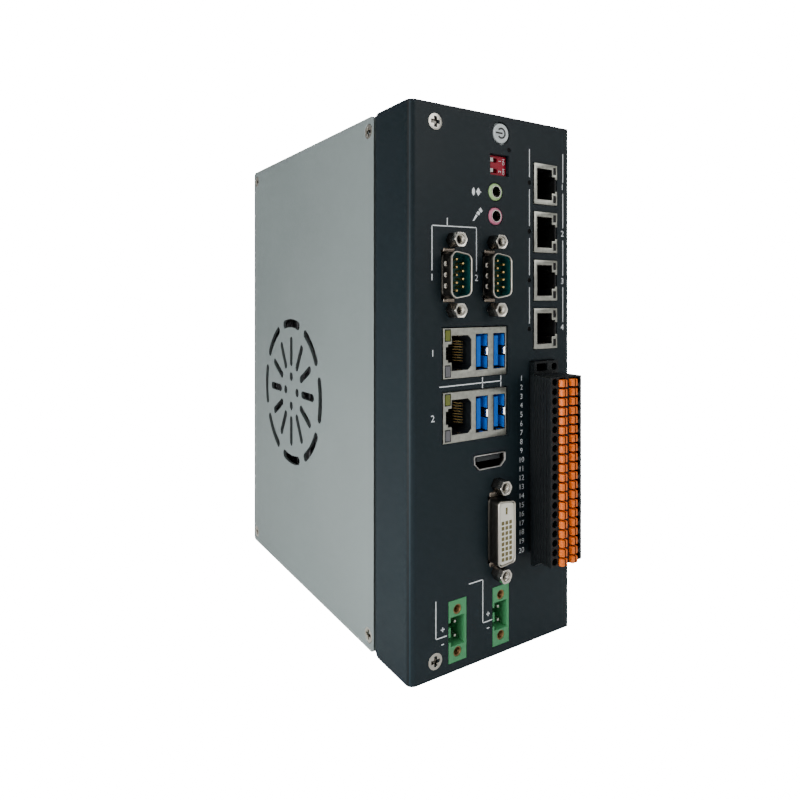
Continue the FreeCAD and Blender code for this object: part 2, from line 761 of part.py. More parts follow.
def ring_slot(body, centre):
    """A curved slot: a small rectangle turned about the vent's axis."""
    half = dim.ring_width / 2
    outline = rect(0, dim.ring_radius - half, dim.skin_sheet, dim.ring_radius + half)
    sketch = flat_sketch(body, "z", [outline], centre[1], (as_size(0), centre[0]))
    groove = body.newObject("PartDesign::Groove", "side_cover_bow")
    groove.Profile = sketch
    groove.ReferenceAxis = (sketch, ["H_Axis"])
    groove.Midplane = True
    bind(groove, "Angle", dim.ring_span)
    doc.recompute()
    return groove


def countersink(body, skin):
    """Widens each screw hole to the cone of a flat head."""
    doc.recompute()
    base = body.Tip
    names = []
    for number, edge in enumerate(base.Shape.Edges, start=1):
        box = edge.BoundBox
        at_face = near(box.XMin, 0) and near(box.XMax, 0)
        for v, z in cover_screw_places():
            across = max(abs(box.Center.y - v.number), abs(box.Center.z - z.number))
            if at_face and across < dim.screw_core.number:
                names.append(f"Edge{number}")
    chamfer = body.newObject("PartDesign::Chamfer", "side_cover_countersink")
    chamfer.Base = (base, names)
    bind(chamfer, "Size", (dim.flat_head - dim.screw_core) / 2 - dim.screw_gap)
    doc.recompute()


def make_case_screws():
    flat = screw_shape(dim.flat_head / 2 - 0.1, dim.screw_core / 2, dim.screw_length, 0, True)
    places = [(0.1, v, z) for v, z in cover_screw_places()]
    shaped("side_cover_screws", copies(flat, places, FACE_LEFT))
    pan = screw_shape(
        dim.pan_head / 2, dim.screw_core / 2, dim.screw_length + dim.low_height, dim.low_height, False,
    )
    heights = (dim.panel_screw_low, dim.panel_screw_high)
    places = [(dim.panel_screw_u, -dim.low_height, z) for z in heights]
    shaped("panel_screws", copies(pan, places, FACE_FRONT))


# Chassis: one folded sheet that makes the right wall, top, base and rear, with lips for the
# cover and tabs for the panel.
def make_chassis():
    body = new_body("chassis")
    skin, sheet_gauge, lip = dim.skin_sheet, dim.frame_sheet, dim.lip_width
    high, deep = dim.body_height, dim.body_depth
    prism(body, "z", [rect(skin, skin, dim.body_width, deep)], 0, high)
    round_edges(body, dim.frame_bend, lambda m, d: (
        (near(abs(d.z), 1) and near(m.x, dim.body_width) and near(m.y, deep))
        or (near(abs(d.y), 1) and near(m.x, dim.body_width))
        or (near(abs(d.x), 1) and near(m.y, deep))
    ))
    hollow = rect(skin - 1, sheet_gauge, deep - sheet_gauge, high - sheet_gauge)
    cut(body, "x", [hollow], skin + sheet_gauge, WALL_LEFT)
    window = rect(skin - 1, lip, deep - lip, high - lip)
    cut(body, "x", [window], skin, skin + sheet_gauge)
    relief = dim.panel_bend + dim.cut_gap
    cut(body, "z", [rect(skin - 1, skin - 1, relief, relief)], 0, high)
    tab_end = dim.tab_start + dim.tab_width
    tab = rect(dim.tab_start, 0, tab_end, dim.tab_height)
    prism(body, "y", [tab], skin, skin + sheet_gauge)
    tab = rect(dim.tab_start, high - dim.tab_height, tab_end, high)
    prism(body, "y", [tab], skin, skin + sheet_gauge)
    heights = (dim.panel_screw_low, dim.panel_screw_high)
    cut(body, "y", [bolt_hole(dim.panel_screw_u, z) for z in heights], skin, skin + sheet_gauge)
    cut(body, "x", [bolt_hole(v, z) for v, z in cover_screw_places()], skin, skin + sheet_gauge)
    cut(body, "y", [bolt_hole(u, z) for u, z in clip_screw_places()], deep - sheet_gauge, deep)
    for low in (as_size(0), high - sheet_gauge):
        slot = rect(
            dim.grille_left, dim.grille_start,
            dim.grille_left + dim.grille_length, dim.grille_start + dim.grille_slot,
        )
        opening = cut(body, "z", [slot], low, low + sheet_gauge)
        row_of(body, opening, "V_Axis", dim.grille_pitch, dim.grille_count)


# Boards: the main board stands upright on pillars from the right wall, the network board
# beside it, and a small supply board carries the outer supply header.
def main_pillar_places():
    return [
        (dim.pillar_front_v, dim.pillar_low_z), (dim.pillar_front_v, dim.pillar_high_z),
        (dim.pillar_rear_v, dim.pillar_low_z), (dim.pillar_rear_v, dim.pillar_high_z),
    ]


def io_pillar_places():
    inset = dim.pillar_width
    return [
        (v, z)
        for v in (dim.poe_depth + inset * 1.5, dim.io_rear - inset)
        for z in (dim.io_low + inset, dim.io_high - inset)
    ]


def supply_pillar_places():
    v = dim.supply_rear - dim.pillar_width
    return [(v, dim.supply_low + dim.pillar_width), (v, dim.supply_high - dim.pillar_width)]


def board(label, left, front, rear, low, high, holes):
    body = new_body(label)
    right = left + dim.board_sheet
    prism(body, "x", [rect(front, low, rear, high)], left, right)
    cut(body, "x", [bolt_hole(v, z) for v, z in holes], left, right)


def make_boards():
    board(
        "main_board", dim.main_u, dim.board_front, dim.main_rear, dim.main_low, dim.main_high,
        main_pillar_places(),
    )
    board(
        "network_board", dim.io_u, dim.board_front, dim.io_rear, dim.io_low, dim.io_high,
        io_pillar_places(),
    )
    board(
        "supply_board", dim.supply_u, dim.board_front, dim.supply_rear, dim.supply_low,
        dim.supply_high, supply_pillar_places(),
    )


def storage_post_places():
    return [(dim.storage_front + dim.pillar_width / 2, dim.storage_low + dim.storage_height / 2)]


def hexagon(v, z):
    return ring_of(v, z, dim.pillar_width * round(1 / math.sqrt(3), 6), 6, 30)


def make_pillars():
    """Hexagonal pillars, each with a blind thread for its screw."""
    groups = [
        (main_pillar_places(), MAIN_RIGHT, WALL_LEFT),
        (io_pillar_places(), IO_RIGHT, WALL_LEFT),
        (supply_pillar_places(), dim.supply_u + dim.board_sheet, dim.main_u),
        (storage_post_places(), dim.main_u - dim.card_lift, dim.main_u),
    ]
    pillars = []
    for places, left, right in groups:
        for v, z in places:
            corners = [vec(left, a, b) for a, b in hexagon(v, z)]
            outline = Part.makePolygon(corners + corners[:1])
            run = as_size(right).number - as_size(left).number
            post = Part.Face(outline).extrude(FreeCAD.Vector(run, 0, 0))
            depth = min(run, dim.board_screw_length.number - dim.board_sheet.number)
            corners = [vec(left, a, b) for a, b in bolt_hole(v, z)]
            bore = Part.Face(Part.makePolygon(corners + corners[:1])).extrude(FreeCAD.Vector(depth, 0, 0))
            pillars.append(post.cut(bore))
    shaped("board_pillars", Part.makeCompound(pillars))
    head = dim.pan_height
    length = dim.board_screw_length + head
    radii = (dim.board_screw_head / 2, dim.screw_core / 2)
    long_screw = screw_shape(*radii, length, head, False, False)
    short_length = WALL_LEFT - dim.io_u + head
    short_screw = screw_shape(*radii, short_length, head, False, False)
    screws = [
        copies(long_screw, [(dim.main_u - head, v, z) for v, z in main_pillar_places()], FACE_LEFT),
        copies(long_screw, [(dim.supply_u - head, v, z) for v, z in supply_pillar_places()], FACE_LEFT),
        copies(short_screw, [(dim.io_u - head, v, z) for v, z in io_pillar_places()], FACE_LEFT),
    ]
    shaped("board_screws", Part.makeCompound([solid for group in screws for solid in group.Solids]))


# Cooling: the processor sits on the main board behind the vents, under an anodised heat sink
# with upright fins and four corner posts.
def make_cooling():
    half = dim.chip_size / 2
    chip_left = dim.main_u - dim.chip_height
    block_part(
        "processor", (chip_left, dim.vent_v - half, dim.vent_z - half),
        (dim.main_u, dim.vent_v + half, dim.vent_z + half),
    )
    body = new_body("heat_sink")
    front, rear = dim.vent_v - dim.sink_width / 2, dim.vent_v + dim.sink_width / 2
    low, high = dim.vent_z - dim.sink_height / 2, dim.vent_z + dim.sink_height / 2
    base_left = chip_left - dim.sink_base
    prism(body, "x", [rect(front, low, rear, high)], base_left, chip_left)
    fin = prism(body, "x", [rect(front, low, front + dim.fin_sheet, high)], dim.sink_left, base_left)
    pitch = (dim.sink_width - dim.fin_sheet) / (dim.fin_count - 1)
    row_of(body, fin, "H_Axis", pitch, dim.fin_count)
    post = dim.pillar_width
    for v in (front, rear - post):
        for z in (low, high - post):
            prism(body, "x", [rect(v, z, v + post, z + post)], chip_left, dim.main_u)


# Memory, storage and clock battery on the main board's left side.
def make_board_modules():
    left = dim.main_u
    low, front = dim.memory_low, dim.memory_front
    body = new_body("memory_socket")
    arm = dim.socket_arm
    outer_left = left - dim.socket_height
    rear = front + dim.memory_length + arm * 2
    prism(body, "x", [rect(front, low, rear, low + dim.socket_width)], outer_left, left)
    for v in (front, rear - arm):
        arm_loop = rect(v, low + dim.socket_width, v + arm, low + dim.socket_width + dim.arm_reach)
        prism(body, "x", [arm_loop], outer_left, left)
    card_left = left - dim.card_lift - dim.card_sheet
    card_right = left - dim.card_lift
    slot = rect(front + arm, low + dim.socket_width - dim.card_bite, rear - arm, low + dim.socket_width)
    cut(body, "x", [slot], card_left, card_right)
    body = new_body("memory_module")
    card = rect(
        front + arm, low + dim.socket_width - dim.card_bite,
        rear - arm, low + dim.socket_width - dim.card_bite + dim.memory_height,
    )
    prism(body, "x", [card], card_left, card_right)
    chip = rect(
        front + arm * 2, low + dim.socket_width + dim.card_bite,
        front + arm * 2 + dim.memory_chip, low + dim.socket_width + dim.card_bite + dim.memory_chip,
    )
    chips = prism(body, "x", [chip], card_left - dim.chip_rise, card_left)
    row_of(body, chips, "H_Axis", (dim.memory_length - arm * 2 - dim.memory_chip) / 3, 4)

    low, front = dim.storage_low, dim.storage_front
    body = new_body("storage_socket")
    rear = front + dim.storage_length
    prism(
        body, "x", [rect(rear - dim.card_bite, low, rear + dim.card_bite, low + dim.storage_height)],
        left - dim.socket_height, left,
    )
    slot = rect(rear - dim.card_bite, low, rear, low + dim.storage_height)
    cut(body, "x", [slot], card_left, card_right)
    body = new_body("storage_module")
    prism(body, "x", [rect(front, low, rear, low + dim.storage_height)], card_left, card_right)
    chip = rect(
        front + dim.card_bite * 3, low + dim.card_bite / 2,
        front + dim.card_bite * 3 + dim.memory_chip * 2, low + dim.storage_height - dim.card_bite / 2,
    )
    prism(body, "x", [chip], card_left - dim.chip_rise, card_left)

    cell = dim.cell_dia / 2
    body = new_body("cell_holder")
    wall = dim.socket_arm
    holder_left = left - dim.cell_sheet - dim.frame_sheet - 1
    prism(body, "x", [ring_of(dim.cell_v, dim.cell_z, cell + wall, 16)], holder_left, left)
    seat = ring_of(dim.cell_v, dim.cell_z, cell + dim.cut_gap, 16)
    cut(body, "x", [seat], holder_left, left - dim.frame_sheet)
    body = new_body("clock_cell")
    prism(
        body, "x", [ring_of(dim.cell_v, dim.cell_z, cell, 16)],
        left - dim.frame_sheet - dim.cell_sheet, left - dim.frame_sheet,
    )
    block_part(
        "board_link", (MAIN_RIGHT, dim.link_front, dim.link_low),
        (dim.io_u, dim.link_front + dim.link_depth, dim.link_low + dim.link_height),
    )


# Power button: a round cap with a collar behind the panel and a plunger that slides in its
# switch; the storage light's guide ends at the main board.
def make_button():
    body = new_body("power_button")
    collar_front = dim.skin_sheet + 0.3
    collar_rear = collar_front + 1
    cap = ring_of(dim.button_u, dim.button_z, dim.button_dia / 2, 24)
    prism(body, "y", [cap], -dim.button_proud, collar_front)
    collar = ring_of(dim.button_u, dim.button_z, dim.button_collar / 2, 24)
    prism(body, "y", [collar], collar_front, collar_rear)
    plunger = disc(dim.button_u, dim.button_z, dim.plunger_dia / 2)
    switch_front = dim.board_front + 1.4
    prism(body, "y", [plunger], collar_rear, switch_front + 2)
    body = new_body("button_switch")
    half = dim.main_u - dim.button_u
    outline = rect(
        dim.button_u - half * 1.2, dim.button_z - half * 1.2, dim.main_u, dim.button_z + half * 1.2,
    )
    prism(body, "y", [outline], switch_front, switch_front + 6)
    bore = disc(dim.button_u, dim.button_z, dim.plunger_dia / 2 + dim.lever_gap)
    cut(body, "y", [bore], switch_front, switch_front + 2 + dim.button_travel + 0.4)


def light_guide(name, u, z, board_left):
    """A clear rod from the panel straight back, then across to its board."""
    back = dim.poe_depth + dim.light_dia * 1.5
    radius = dim.light_dia / 2 - 0.05
    run = rod(f"{name}_run", "y", (u, as_size(0.2), z), radius, back, 8)
    turn = rod(f"{name}_turn", "x", (u, back - radius + 0.2, z), radius, board_left - u, 8)
    joined = doc.addObject("Part::Fuse", name)
    joined.Base = run
    joined.Tool = turn
    return joined


def make_light_guides():
    guides = [
        light_guide(f"jack_guide_{k}", dim.led_u, z, dim.io_u) for k, z in enumerate(POE_CENTRES, 1)
    ]
    radius = dim.light_dia / 2 - 0.05
    front = (dim.light_u, as_size(0.2), dim.light_z)
    short = rod("storage_guide", "y", front, radius, dim.board_front - 0.2, 8)
    together("light_guides", guides + [short])


# Mode switch: a red body with two levers that slide from left to right in their slots.
def lever_heights():
    middle = dim.dip_low + dim.dip_height / 2
    return [middle + dim.lever_pitch / 2, middle - dim.lever_pitch / 2]


def make_mode_switch():
    body = new_body("mode_switch")
    face = dim.dip_recess
    right = dim.dip_left + dim.dip_width
    high = dim.dip_low + dim.dip_height
    deep = dim.board_front + 4
    prism(body, "y", [rect(dim.dip_left, dim.dip_low, dim.main_u, high)], dim.board_front - 1, deep)
    prism(body, "y", [rect(dim.dip_left, dim.dip_low, right, high)], face, dim.board_front - 1)
    gap = dim.lever_gap
    slot_left = dim.dip_left + 0.2
    slot_depth = 2.2
    for height in lever_heights():
        half = dim.lever_height / 2 + gap
        slot = rect(
            slot_left, height - half,
            slot_left + gap * 2 + dim.lever_width + dim.lever_travel, height + half,
        )
        cut(body, "y", [slot], face, face + slot_depth)
    for number, height in enumerate(lever_heights(), start=1):
        block_part(
            f"mode_lever_{number}",
            (slot_left + gap, dim.lever_front, height - dim.lever_height / 2),
            (slot_left + gap + dim.lever_width, face + slot_depth - gap, height + dim.lever_height / 2),
        )


# Audio jacks: a threaded-look nose through the panel and a square body on the board.
def make_audio_jack(label, z):
    body = new_body(label)
    half = (dim.line_z - dim.mic_z) / 2 - dim.cut_gap
    nose = ring_of(dim.jack_u, z, dim.jack_dia / 2, 24)
    shoulder = dim.skin_sheet + dim.cut_gap
    rear = dim.jack_depth + 2
    prism(body, "y", [rect(dim.jack_u - half, z - half, dim.main_u, z + half)], dim.board_front, rear)
    prism(body, "y", [ring_of(dim.jack_u, z, half, 24)], shoulder, dim.board_front)
    prism(body, "y", [nose], -dim.cut_gap, shoulder)
    cut(body, "y", [disc(dim.jack_u, z, dim.jack_bore / 2)], -dim.cut_gap, dim.jack_depth - dim.cut_gap)


# Serial ports: a drawn shell with its flange behind the panel, an insulator that runs back to
# the board, nine pins and two jackscrews each.
def make_serial_shell(number, u):
    body = new_body(f"serial_shell_{number}")
    flange_rear = dim.skin_sheet + dim.shell_wall * 1.6
    z = dim.serial_z
    half_high = dim.jackscrew_span / 2 + dim.hex_width / 2
    half_wide = dim.shell_width / 2 + 1.2
    flange = rect(u - half_wide, z - half_high, u + half_wide, z + half_high)
    prism(body, "y", [flange], dim.skin_sheet, flange_rear)
    prism(body, "y", [serial_outline(u)], -dim.serial_reach, flange_rear)
    slanted = lambda m, d: (
        near(abs(d.y), 1)
        and abs(m.x - u.number) < dim.shell_width.number / 2 + 0.1
        and abs(m.z - z.number) < dim.shell_height.number / 2 + 0.1
    )
    round_edges(body, dim.shell_round, slanted)
    cut(body, "y", [serial_outline(u, -dim.shell_wall)], -dim.serial_reach, flange_rear)
    holes = [bolt_hole(u, z + dim.jackscrew_span / 2 * side) for side in (-1, 1)]
    cut(body, "y", holes, dim.skin_sheet, flange_rear)
    return body


def serial_pin_places(u):
    """Five pins in the left row and four in the right."""
    places = []
    for count, side in ((5, -1), (4, 1)):
        for k in range(count):
            drop = (k - (count - 1) / 2) * dim.pin_pitch
            places.append((u + dim.pin_row / 2 * side, dim.serial_z + drop))
    return places


def make_serial_insulator(number, u, lane_front, lane_rear):
    """The insulator fills the shell and its rear block crosses to the main board."""
    body = new_body(f"serial_insulator_{number}")
    flange_rear = dim.skin_sheet + dim.shell_wall * 1.6
    half_high = dim.shell_height / 2 - dim.shell_taper - dim.shell_wall
    fill = serial_outline(u, -dim.shell_wall - 0.02)
    prism(body, "y", [fill], -dim.shell_wall, flange_rear)
    back = rect(
        u - dim.shell_width / 2, dim.serial_z - half_high,
        u + dim.shell_width / 2, dim.serial_z + half_high,
    )
    prism(body, "y", [back], flange_rear, lane_rear)
    across = rect(
        u + dim.shell_width / 2, dim.serial_z - half_high, dim.main_u, dim.serial_z + half_high,
    )
    prism(body, "y", [across], lane_front, lane_rear)
    holes = [ring_of(a, b, dim.pin_dia / 2, 6) for a, b in serial_pin_places(u)]
    cut(body, "y", holes, -dim.shell_wall, flange_rear)


def make_serial_ports():
    lanes = [(dim.board_front + 6.5, dim.board_front + 11.5), (dim.board_front, dim.board_front + 6)]
    for number, (u, lane) in enumerate(zip(SERIAL_CENTRES, lanes), start=1):
        make_serial_shell(number, u)
        make_serial_insulator(number, u, *lane)
    pins = []
    flange_rear = dim.skin_sheet + dim.shell_wall * 1.6
    tip = -dim.serial_reach + 0.8
    for u in SERIAL_CENTRES:
        for a, b in serial_pin_places(u):
            corners = [vec(x, tip, y) for x, y in ring_of(a, b, dim.pin_dia / 2, 6)]
            run = flange_rear.number - tip.number
            outline = Part.Face(Part.makePolygon(corners + corners[:1]))
            pins.append(outline.extrude(FreeCAD.Vector(0, run, 0)))
    shaped("serial_pins", Part.makeCompound(pins))


def make_jackscrews():
    """Hexagonal posts with a threaded mouth; each shank passes the panel."""
    posts = []
    for u, z in jackscrew_places():
        corners = ring_of(u, z, dim.hex_width * round(1 / math.sqrt(3), 6), 6, 30)
        points = [vec(a, -dim.hex_reach, b) for a, b in corners]
        outline = Part.Face(Part.makePolygon(points + points[:1]))
        post = outline.extrude(FreeCAD.Vector(0, dim.hex_reach.number, 0))
        points = [vec(a, 0, b) for a, b in ring_of(u, z, dim.screw_core / 2, 8, 22.5)]
        outline = Part.Face(Part.makePolygon(points + points[:1]))
        shank = outline.extrude(FreeCAD.Vector(0, dim.board_front.number - 0.4, 0))
        bore = Part.makeCylinder(
            dim.hex_bore.number / 2, dim.hex_reach.number - 0.5, vec(u, -dim.hex_reach, z),
            FreeCAD.Vector(0, 1, 0),
        )
        posts.append(post.fuse(shank).cut(bore))
    shaped("jackscrews", Part.makeCompound(posts))


# Port stacks: a folded shield round one network opening and two data openings, a moulded
# insert behind it, two tongues and two status lenses.
def stack_layout(low):
    """Sizes of one stack, from its left edge and its middle height."""
    layout = Named()
    layout.low, layout.high = low, low + dim.stack_height
    layout.middle = low + dim.stack_height / 2
    layout.plug_right = dim.stack_left + 12.7
    layout.plug_left = layout.plug_right - dim.plug_height
    layout.data = [dim.stack_left + 15.2, dim.stack_left + 23.6]
    layout.lens_left = dim.stack_left + 1.1
    layout.lens_right = layout.lens_left + 2.0
    layout.lens_height = 3.7
    layout.lens_lows = [layout.low + 0.9, layout.high - 0.9 - layout.lens_height]
    return layout


def network_opening(layout, grow=0):
    """The stepped network opening of a stack: latch notch at the left, slanted right corners."""
    half = dim.plug_width / 2 + grow
    left, right = layout.plug_left - grow, layout.plug_right + grow
    slant = 1.5
    mid = layout.middle
    notch_left, notch_mid = layout.lens_left, layout.lens_left + 1
    return [
        (left, mid - half), (right - slant, mid - half), (right, mid - half + slant),
        (right, mid + half - slant), (right - slant, mid + half), (left, mid + half),
        (left, mid + 3.3), (notch_mid, mid + 3.3), (notch_mid, mid + 2.3), (notch_left, mid + 2.3),
        (notch_left, mid - 2.3), (notch_mid, mid - 2.3), (notch_mid, mid - 3.3), (left, mid - 3.3),
    ]


def data_openings(layout, wide, tall):
    return [rect(u, layout.middle - wide / 2, u + tall, layout.middle + wide / 2) for u in layout.data]


def make_stack(number, low):
    layout = stack_layout(low)
    wall = dim.shield_sheet
    front, rear = -dim.stack_proud, dim.stack_depth
    lens_loops = [
        rect(layout.lens_left, z, layout.lens_right, z + layout.lens_height) for z in layout.lens_lows
    ]
    body = new_body(f"stack_shield_{number}")
    prism(body, "y", [rect(dim.stack_left, layout.low, dim.main_u, layout.high)], front, rear)
    inner = rect(dim.stack_left + wall, layout.low + wall, dim.main_u - wall, layout.high - wall)
    cut(body, "y", [inner], front + wall, rear)
    face_cuts = [network_opening(layout)] + data_openings(layout, dim.data_width, dim.data_height)
    cut(body, "y", face_cuts + lens_loops, front, front + wall)

    body = new_body(f"stack_insert_{number}")
    inner = rect(dim.stack_left + wall, layout.low + wall, dim.main_u - wall, layout.high - wall)
    prism(body, "y", [inner], front + wall, rear)
    cut(body, "y", [network_opening(layout)], front + wall, dim.cavity_depth)
    cut(body, "y", data_openings(layout, dim.data_width, dim.data_height), front + wall, dim.cavity_depth)
    cut(body, "y", lens_loops, front + wall, 3)

    tongues, lenses = [], []
    for k, u in enumerate(layout.data):
        tongues.append(block(
            f"tongue_{number}_{k}",
            (u + 0.75, as_size(0.6), layout.middle - dim.tongue_width / 2),
            (u + 0.75 + dim.tongue_sheet, dim.cavity_depth, layout.middle + dim.tongue_width / 2),
        ))
    for k, z in enumerate(layout.lens_lows):
        lenses.append(block(
            f"lens_{number}_{k}", (layout.lens_left, front, z),
            (layout.lens_right, as_size(3), z + layout.lens_height),
        ))
    return tongues, lenses


def contact_strip(u_far, u_near, v_front, v_rear, z):
    """One sprung contact: a thin strip that slants into the cavity."""
    u_far, u_near, v_front, v_rear, z = (
        as_size(size).number for size in (u_far, u_near, v_front, v_rear, z)
    )
    gauge, half = 0.35, 0.22
    points = [
        FreeCAD.Vector(u_far, v_front, z - half), FreeCAD.Vector(u_near, v_rear, z - half),
        FreeCAD.Vector(u_near, v_rear - gauge, z - half), FreeCAD.Vector(u_far, v_front - gauge, z - half),
    ]
    face = Part.Face(Part.makePolygon(points + points[:1]))
    return face.extrude(FreeCAD.Vector(0, 0, half * 2))


def make_port_stacks():
    tongues, lenses, strips = [], [], []
    for number, low in enumerate(STACK_LOWS, start=1):
        more_tongues, more_lenses = make_stack(number, low)
        tongues += more_tongues
        lenses += more_lenses
        layout = stack_layout(low)
        for k in range(8):
            z = layout.middle + (k - 3.5) * 1.02
            strips.append(contact_strip(
                layout.plug_right, layout.plug_right - 3, as_size(5), dim.cavity_depth - 0.6, z,
            ))
    together("data_tongues", tongues)
    together("stack_lenses", lenses)
    for z in POE_CENTRES:
        for k in range(8):
            left = dim.poe_left + 1.9
            strips.append(contact_strip(
                left, left + 3, as_size(5), dim.cavity_depth - 0.6, z + (k - 3.5) * 1.02,
            ))
    shaped("network_contacts", Part.makeCompound(strips))


# Network jacks of the right column, one shield and one insert each.
def jack_opening(z):
    """Plug opening with the stepped latch notch at the right, open to the shield's edge."""
    left = dim.poe_left + 1.9
    right = dim.poe_left + 9.9
    notch_mid = dim.poe_left + 11.6
    edge = dim.poe_left + dim.poe_width
    return [
        (left, z - 6), (right, z - 6), (right, z - 3.3), (notch_mid, z - 3.3), (notch_mid, z - 2.3),
        (edge, z - 2.3), (edge, z + 2.3), (notch_mid, z + 2.3), (notch_mid, z + 3.3),
        (right, z + 3.3), (right, z + 6), (left, z + 6),
    ]


def jack_windows(z):
    """The two status windows in the right corners."""
    half = dim.poe_height / 2
    left, right = dim.poe_left + 10.65, dim.poe_left + 12.2
    return [
        rect(left, z + half - 3.7, right, z + half - 0.9),
        rect(left, z - half + 0.9, right, z - half + 3.7),
    ]


def make_network_jacks():
    wall = dim.shield_sheet
    front = -dim.stack_proud
    rear = dim.poe_depth
    right = dim.poe_left + dim.poe_width
    inserts = []
    for number, z in enumerate(POE_CENTRES, start=1):
        low, high = z - dim.poe_height / 2, z + dim.poe_height / 2
        body = new_body(f"jack_shield_{number}")
        prism(body, "y", [rect(dim.poe_left, low, right, high)], front, rear)
        inner = rect(dim.poe_left + wall, low + wall, right - wall, high - wall)
        cut(body, "y", [inner], front + wall, rear)
        cut(body, "y", [jack_opening(z)] + jack_windows(z), front, front + wall)
        body = doc.addObject("PartDesign::Body", f"jack_insert_{number}")
        prism(body, "y", [inner], front + wall, rear)
        cavity = rect(dim.poe_left + 1.9, z - 6, dim.poe_left + 9.9, z + 6)
        cut(body, "y", [cavity], front + wall, dim.cavity_depth)
        notch = rect(dim.poe_left + 9.9, z - 3.3, dim.poe_left + 11.6, z + 3.3)
        cut(body, "y", [notch], front + wall, dim.cavity_depth)
        inserts.append(body)
    together("jack_inserts", inserts)


# Video port and monitor port.
def make_video_port():
    body = new_body("video_port_shell")
    wall = dim.shield_sheet
    front, rear = -dim.stack_proud, as_size(11)
    prism(body, "y", [video_outline()], front, rear)
    cut(body, "y", [video_outline(-wall)], front, rear - wall)
    right = dim.video_left + dim.video_width
    foot = rect(right, dim.video_low + 2.5, dim.main_u, dim.video_low + dim.video_height)
    prism(body, "y", [foot], dim.board_front, rear)
    block_part(
        "video_port_tongue",
        (dim.video_left + 2, as_size(0.8), dim.video_low + dim.video_height - 2.6),
        (dim.video_left + dim.video_width - 2, rear - wall, dim.video_low + dim.video_height - 1.1),
    )


def make_monitor_port():
    u, z = dim.monitor_u, dim.monitor_z
    wall = dim.shell_wall
    rear = as_size(14)
    flange_rear = dim.skin_sheet + wall * 1.6
    body = new_body("monitor_port_shell")
    half_high = dim.monitor_span / 2 + dim.hex_width / 2
    half_wide = dim.monitor_width / 2 + 0.5
    flange = rect(u - half_wide, z - half_high, u + half_wide, z + half_high)
    prism(body, "y", [flange], dim.skin_sheet, flange_rear)
    prism(body, "y", [monitor_outline()], -dim.serial_reach, flange_rear)
    inside = lambda m, d: (
        near(abs(d.y), 1)
        and near(abs(m.x - u.number), dim.monitor_width / 2)
        and near(abs(m.z - z.number), dim.monitor_height / 2)
    )
    round_edges(body, 1.6, inside)
    cut(body, "y", [monitor_outline(-wall)], -dim.serial_reach, flange_rear)
    holes = [bolt_hole(u, z + dim.monitor_span / 2 * side) for side in (-1, 1)]
    cut(body, "y", holes, dim.skin_sheet, flange_rear)

    body = new_body("monitor_port_insert")
    front = -dim.serial_reach + 1
    prism(body, "y", [monitor_outline(-wall - 0.02)], front, flange_rear)
    half_wide = dim.monitor_width / 2
    half_high = dim.monitor_height / 2
    prism(body, "y", [rect(u - half_wide, z - half_high, dim.main_u, z + half_high)], dim.board_front, rear)
    prism(
        body, "y", [rect(u - half_wide, z - half_high, u + half_wide, z + half_high)],
        flange_rear, dim.board_front,
    )
    pitch, hole = 1.9, 0.6
    first_z = z - half_high + 2.4
    sockets = [
        rect(u + pitch * k - hole, first_z - hole, u + pitch * k + hole, first_z + hole) for k in (-1, 0, 1)
    ]
    feature = cut(body, "y", sockets, front, front + 3)
    row_of(body, feature, "V_Axis", pitch, 8)
    blade = z + half_high - 4.4
    cut(body, "y", [rect(u - 2.9, blade - 0.35, u + 2.9, blade + 0.35)], front, front + 3)


# Supply headers: green housings with an open cavity, two pins and a threaded insert at each end.
def make_supply_headers():
    pins, inserts = [], []
    middle = dim.supply_low + dim.supply_height / 2
    for number, left in enumerate(SUPPLY_LEFTS, start=1):
        body = new_body(f"supply_header_{number}")
        right = left + dim.supply_width
        high = dim.supply_low + dim.supply_height
        prism(body, "y", [rect(left, dim.supply_low, right, high)], 0, dim.board_front)
        rear_right = (dim.supply_u, dim.main_u)[number - 1]
        prism(body, "y", [rect(left, dim.supply_low, rear_right, high)], dim.board_front, dim.supply_depth)
        half = dim.insert_span / 2 - dim.insert_dia / 2 - 0.5
        centre_u = left + dim.supply_width / 2
        notch = 0.9
        cavity = [
            (left + 0.9, middle - half), (right - 0.9, middle - half), (right - 0.9, middle + half),
            (left + 0.9, middle + half), (left + 0.9, middle + half - 1.7),
            (left + 0.9 - notch, middle + half - 1.7), (left + 0.9 - notch, middle + half - 3.5),
            (left + 0.9, middle + half - 3.5), (left + 0.9, middle - half + 3.5),
            (left + 0.9 - notch, middle - half + 3.5), (left + 0.9 - notch, middle - half + 1.7),
            (left + 0.9, middle - half + 1.7),
        ]
        cut(body, "y", [cavity], 0, dim.supply_depth - 2)
        ends = [middle + dim.insert_span / 2 * side for side in (-1, 1)]
        seats = [ring_of(centre_u, z, dim.insert_dia / 2, 12) for z in ends]
        cut(body, "y", seats, 0, dim.supply_depth - 4)
        for k, z in enumerate(ends):
            mouth = (centre_u, as_size(0.3), z)
            deep = dim.supply_depth - 4.3
            sleeve = rod(f"sleeve_{number}_{k}", "y", mouth, dim.insert_dia / 2, deep, 12)
            bore = rod(f"bore_{number}_{k}", "y", mouth, dim.insert_bore / 2, deep - 1)
            inserts.append(pierced(f"insert_{number}_{k}", sleeve, [bore]))
        for k, side in enumerate((-1, 1)):
            z = middle + dim.supply_pitch / 2 * side
            pins.append(block(
                f"supply_pin_{number}_{k}", (centre_u - 0.4, as_size(1.6), z - 0.4),
                (centre_u + 0.4, dim.supply_depth - 2, z + 0.4),
            ))
    together("supply_inserts", inserts)
    together("supply_pins", pins)


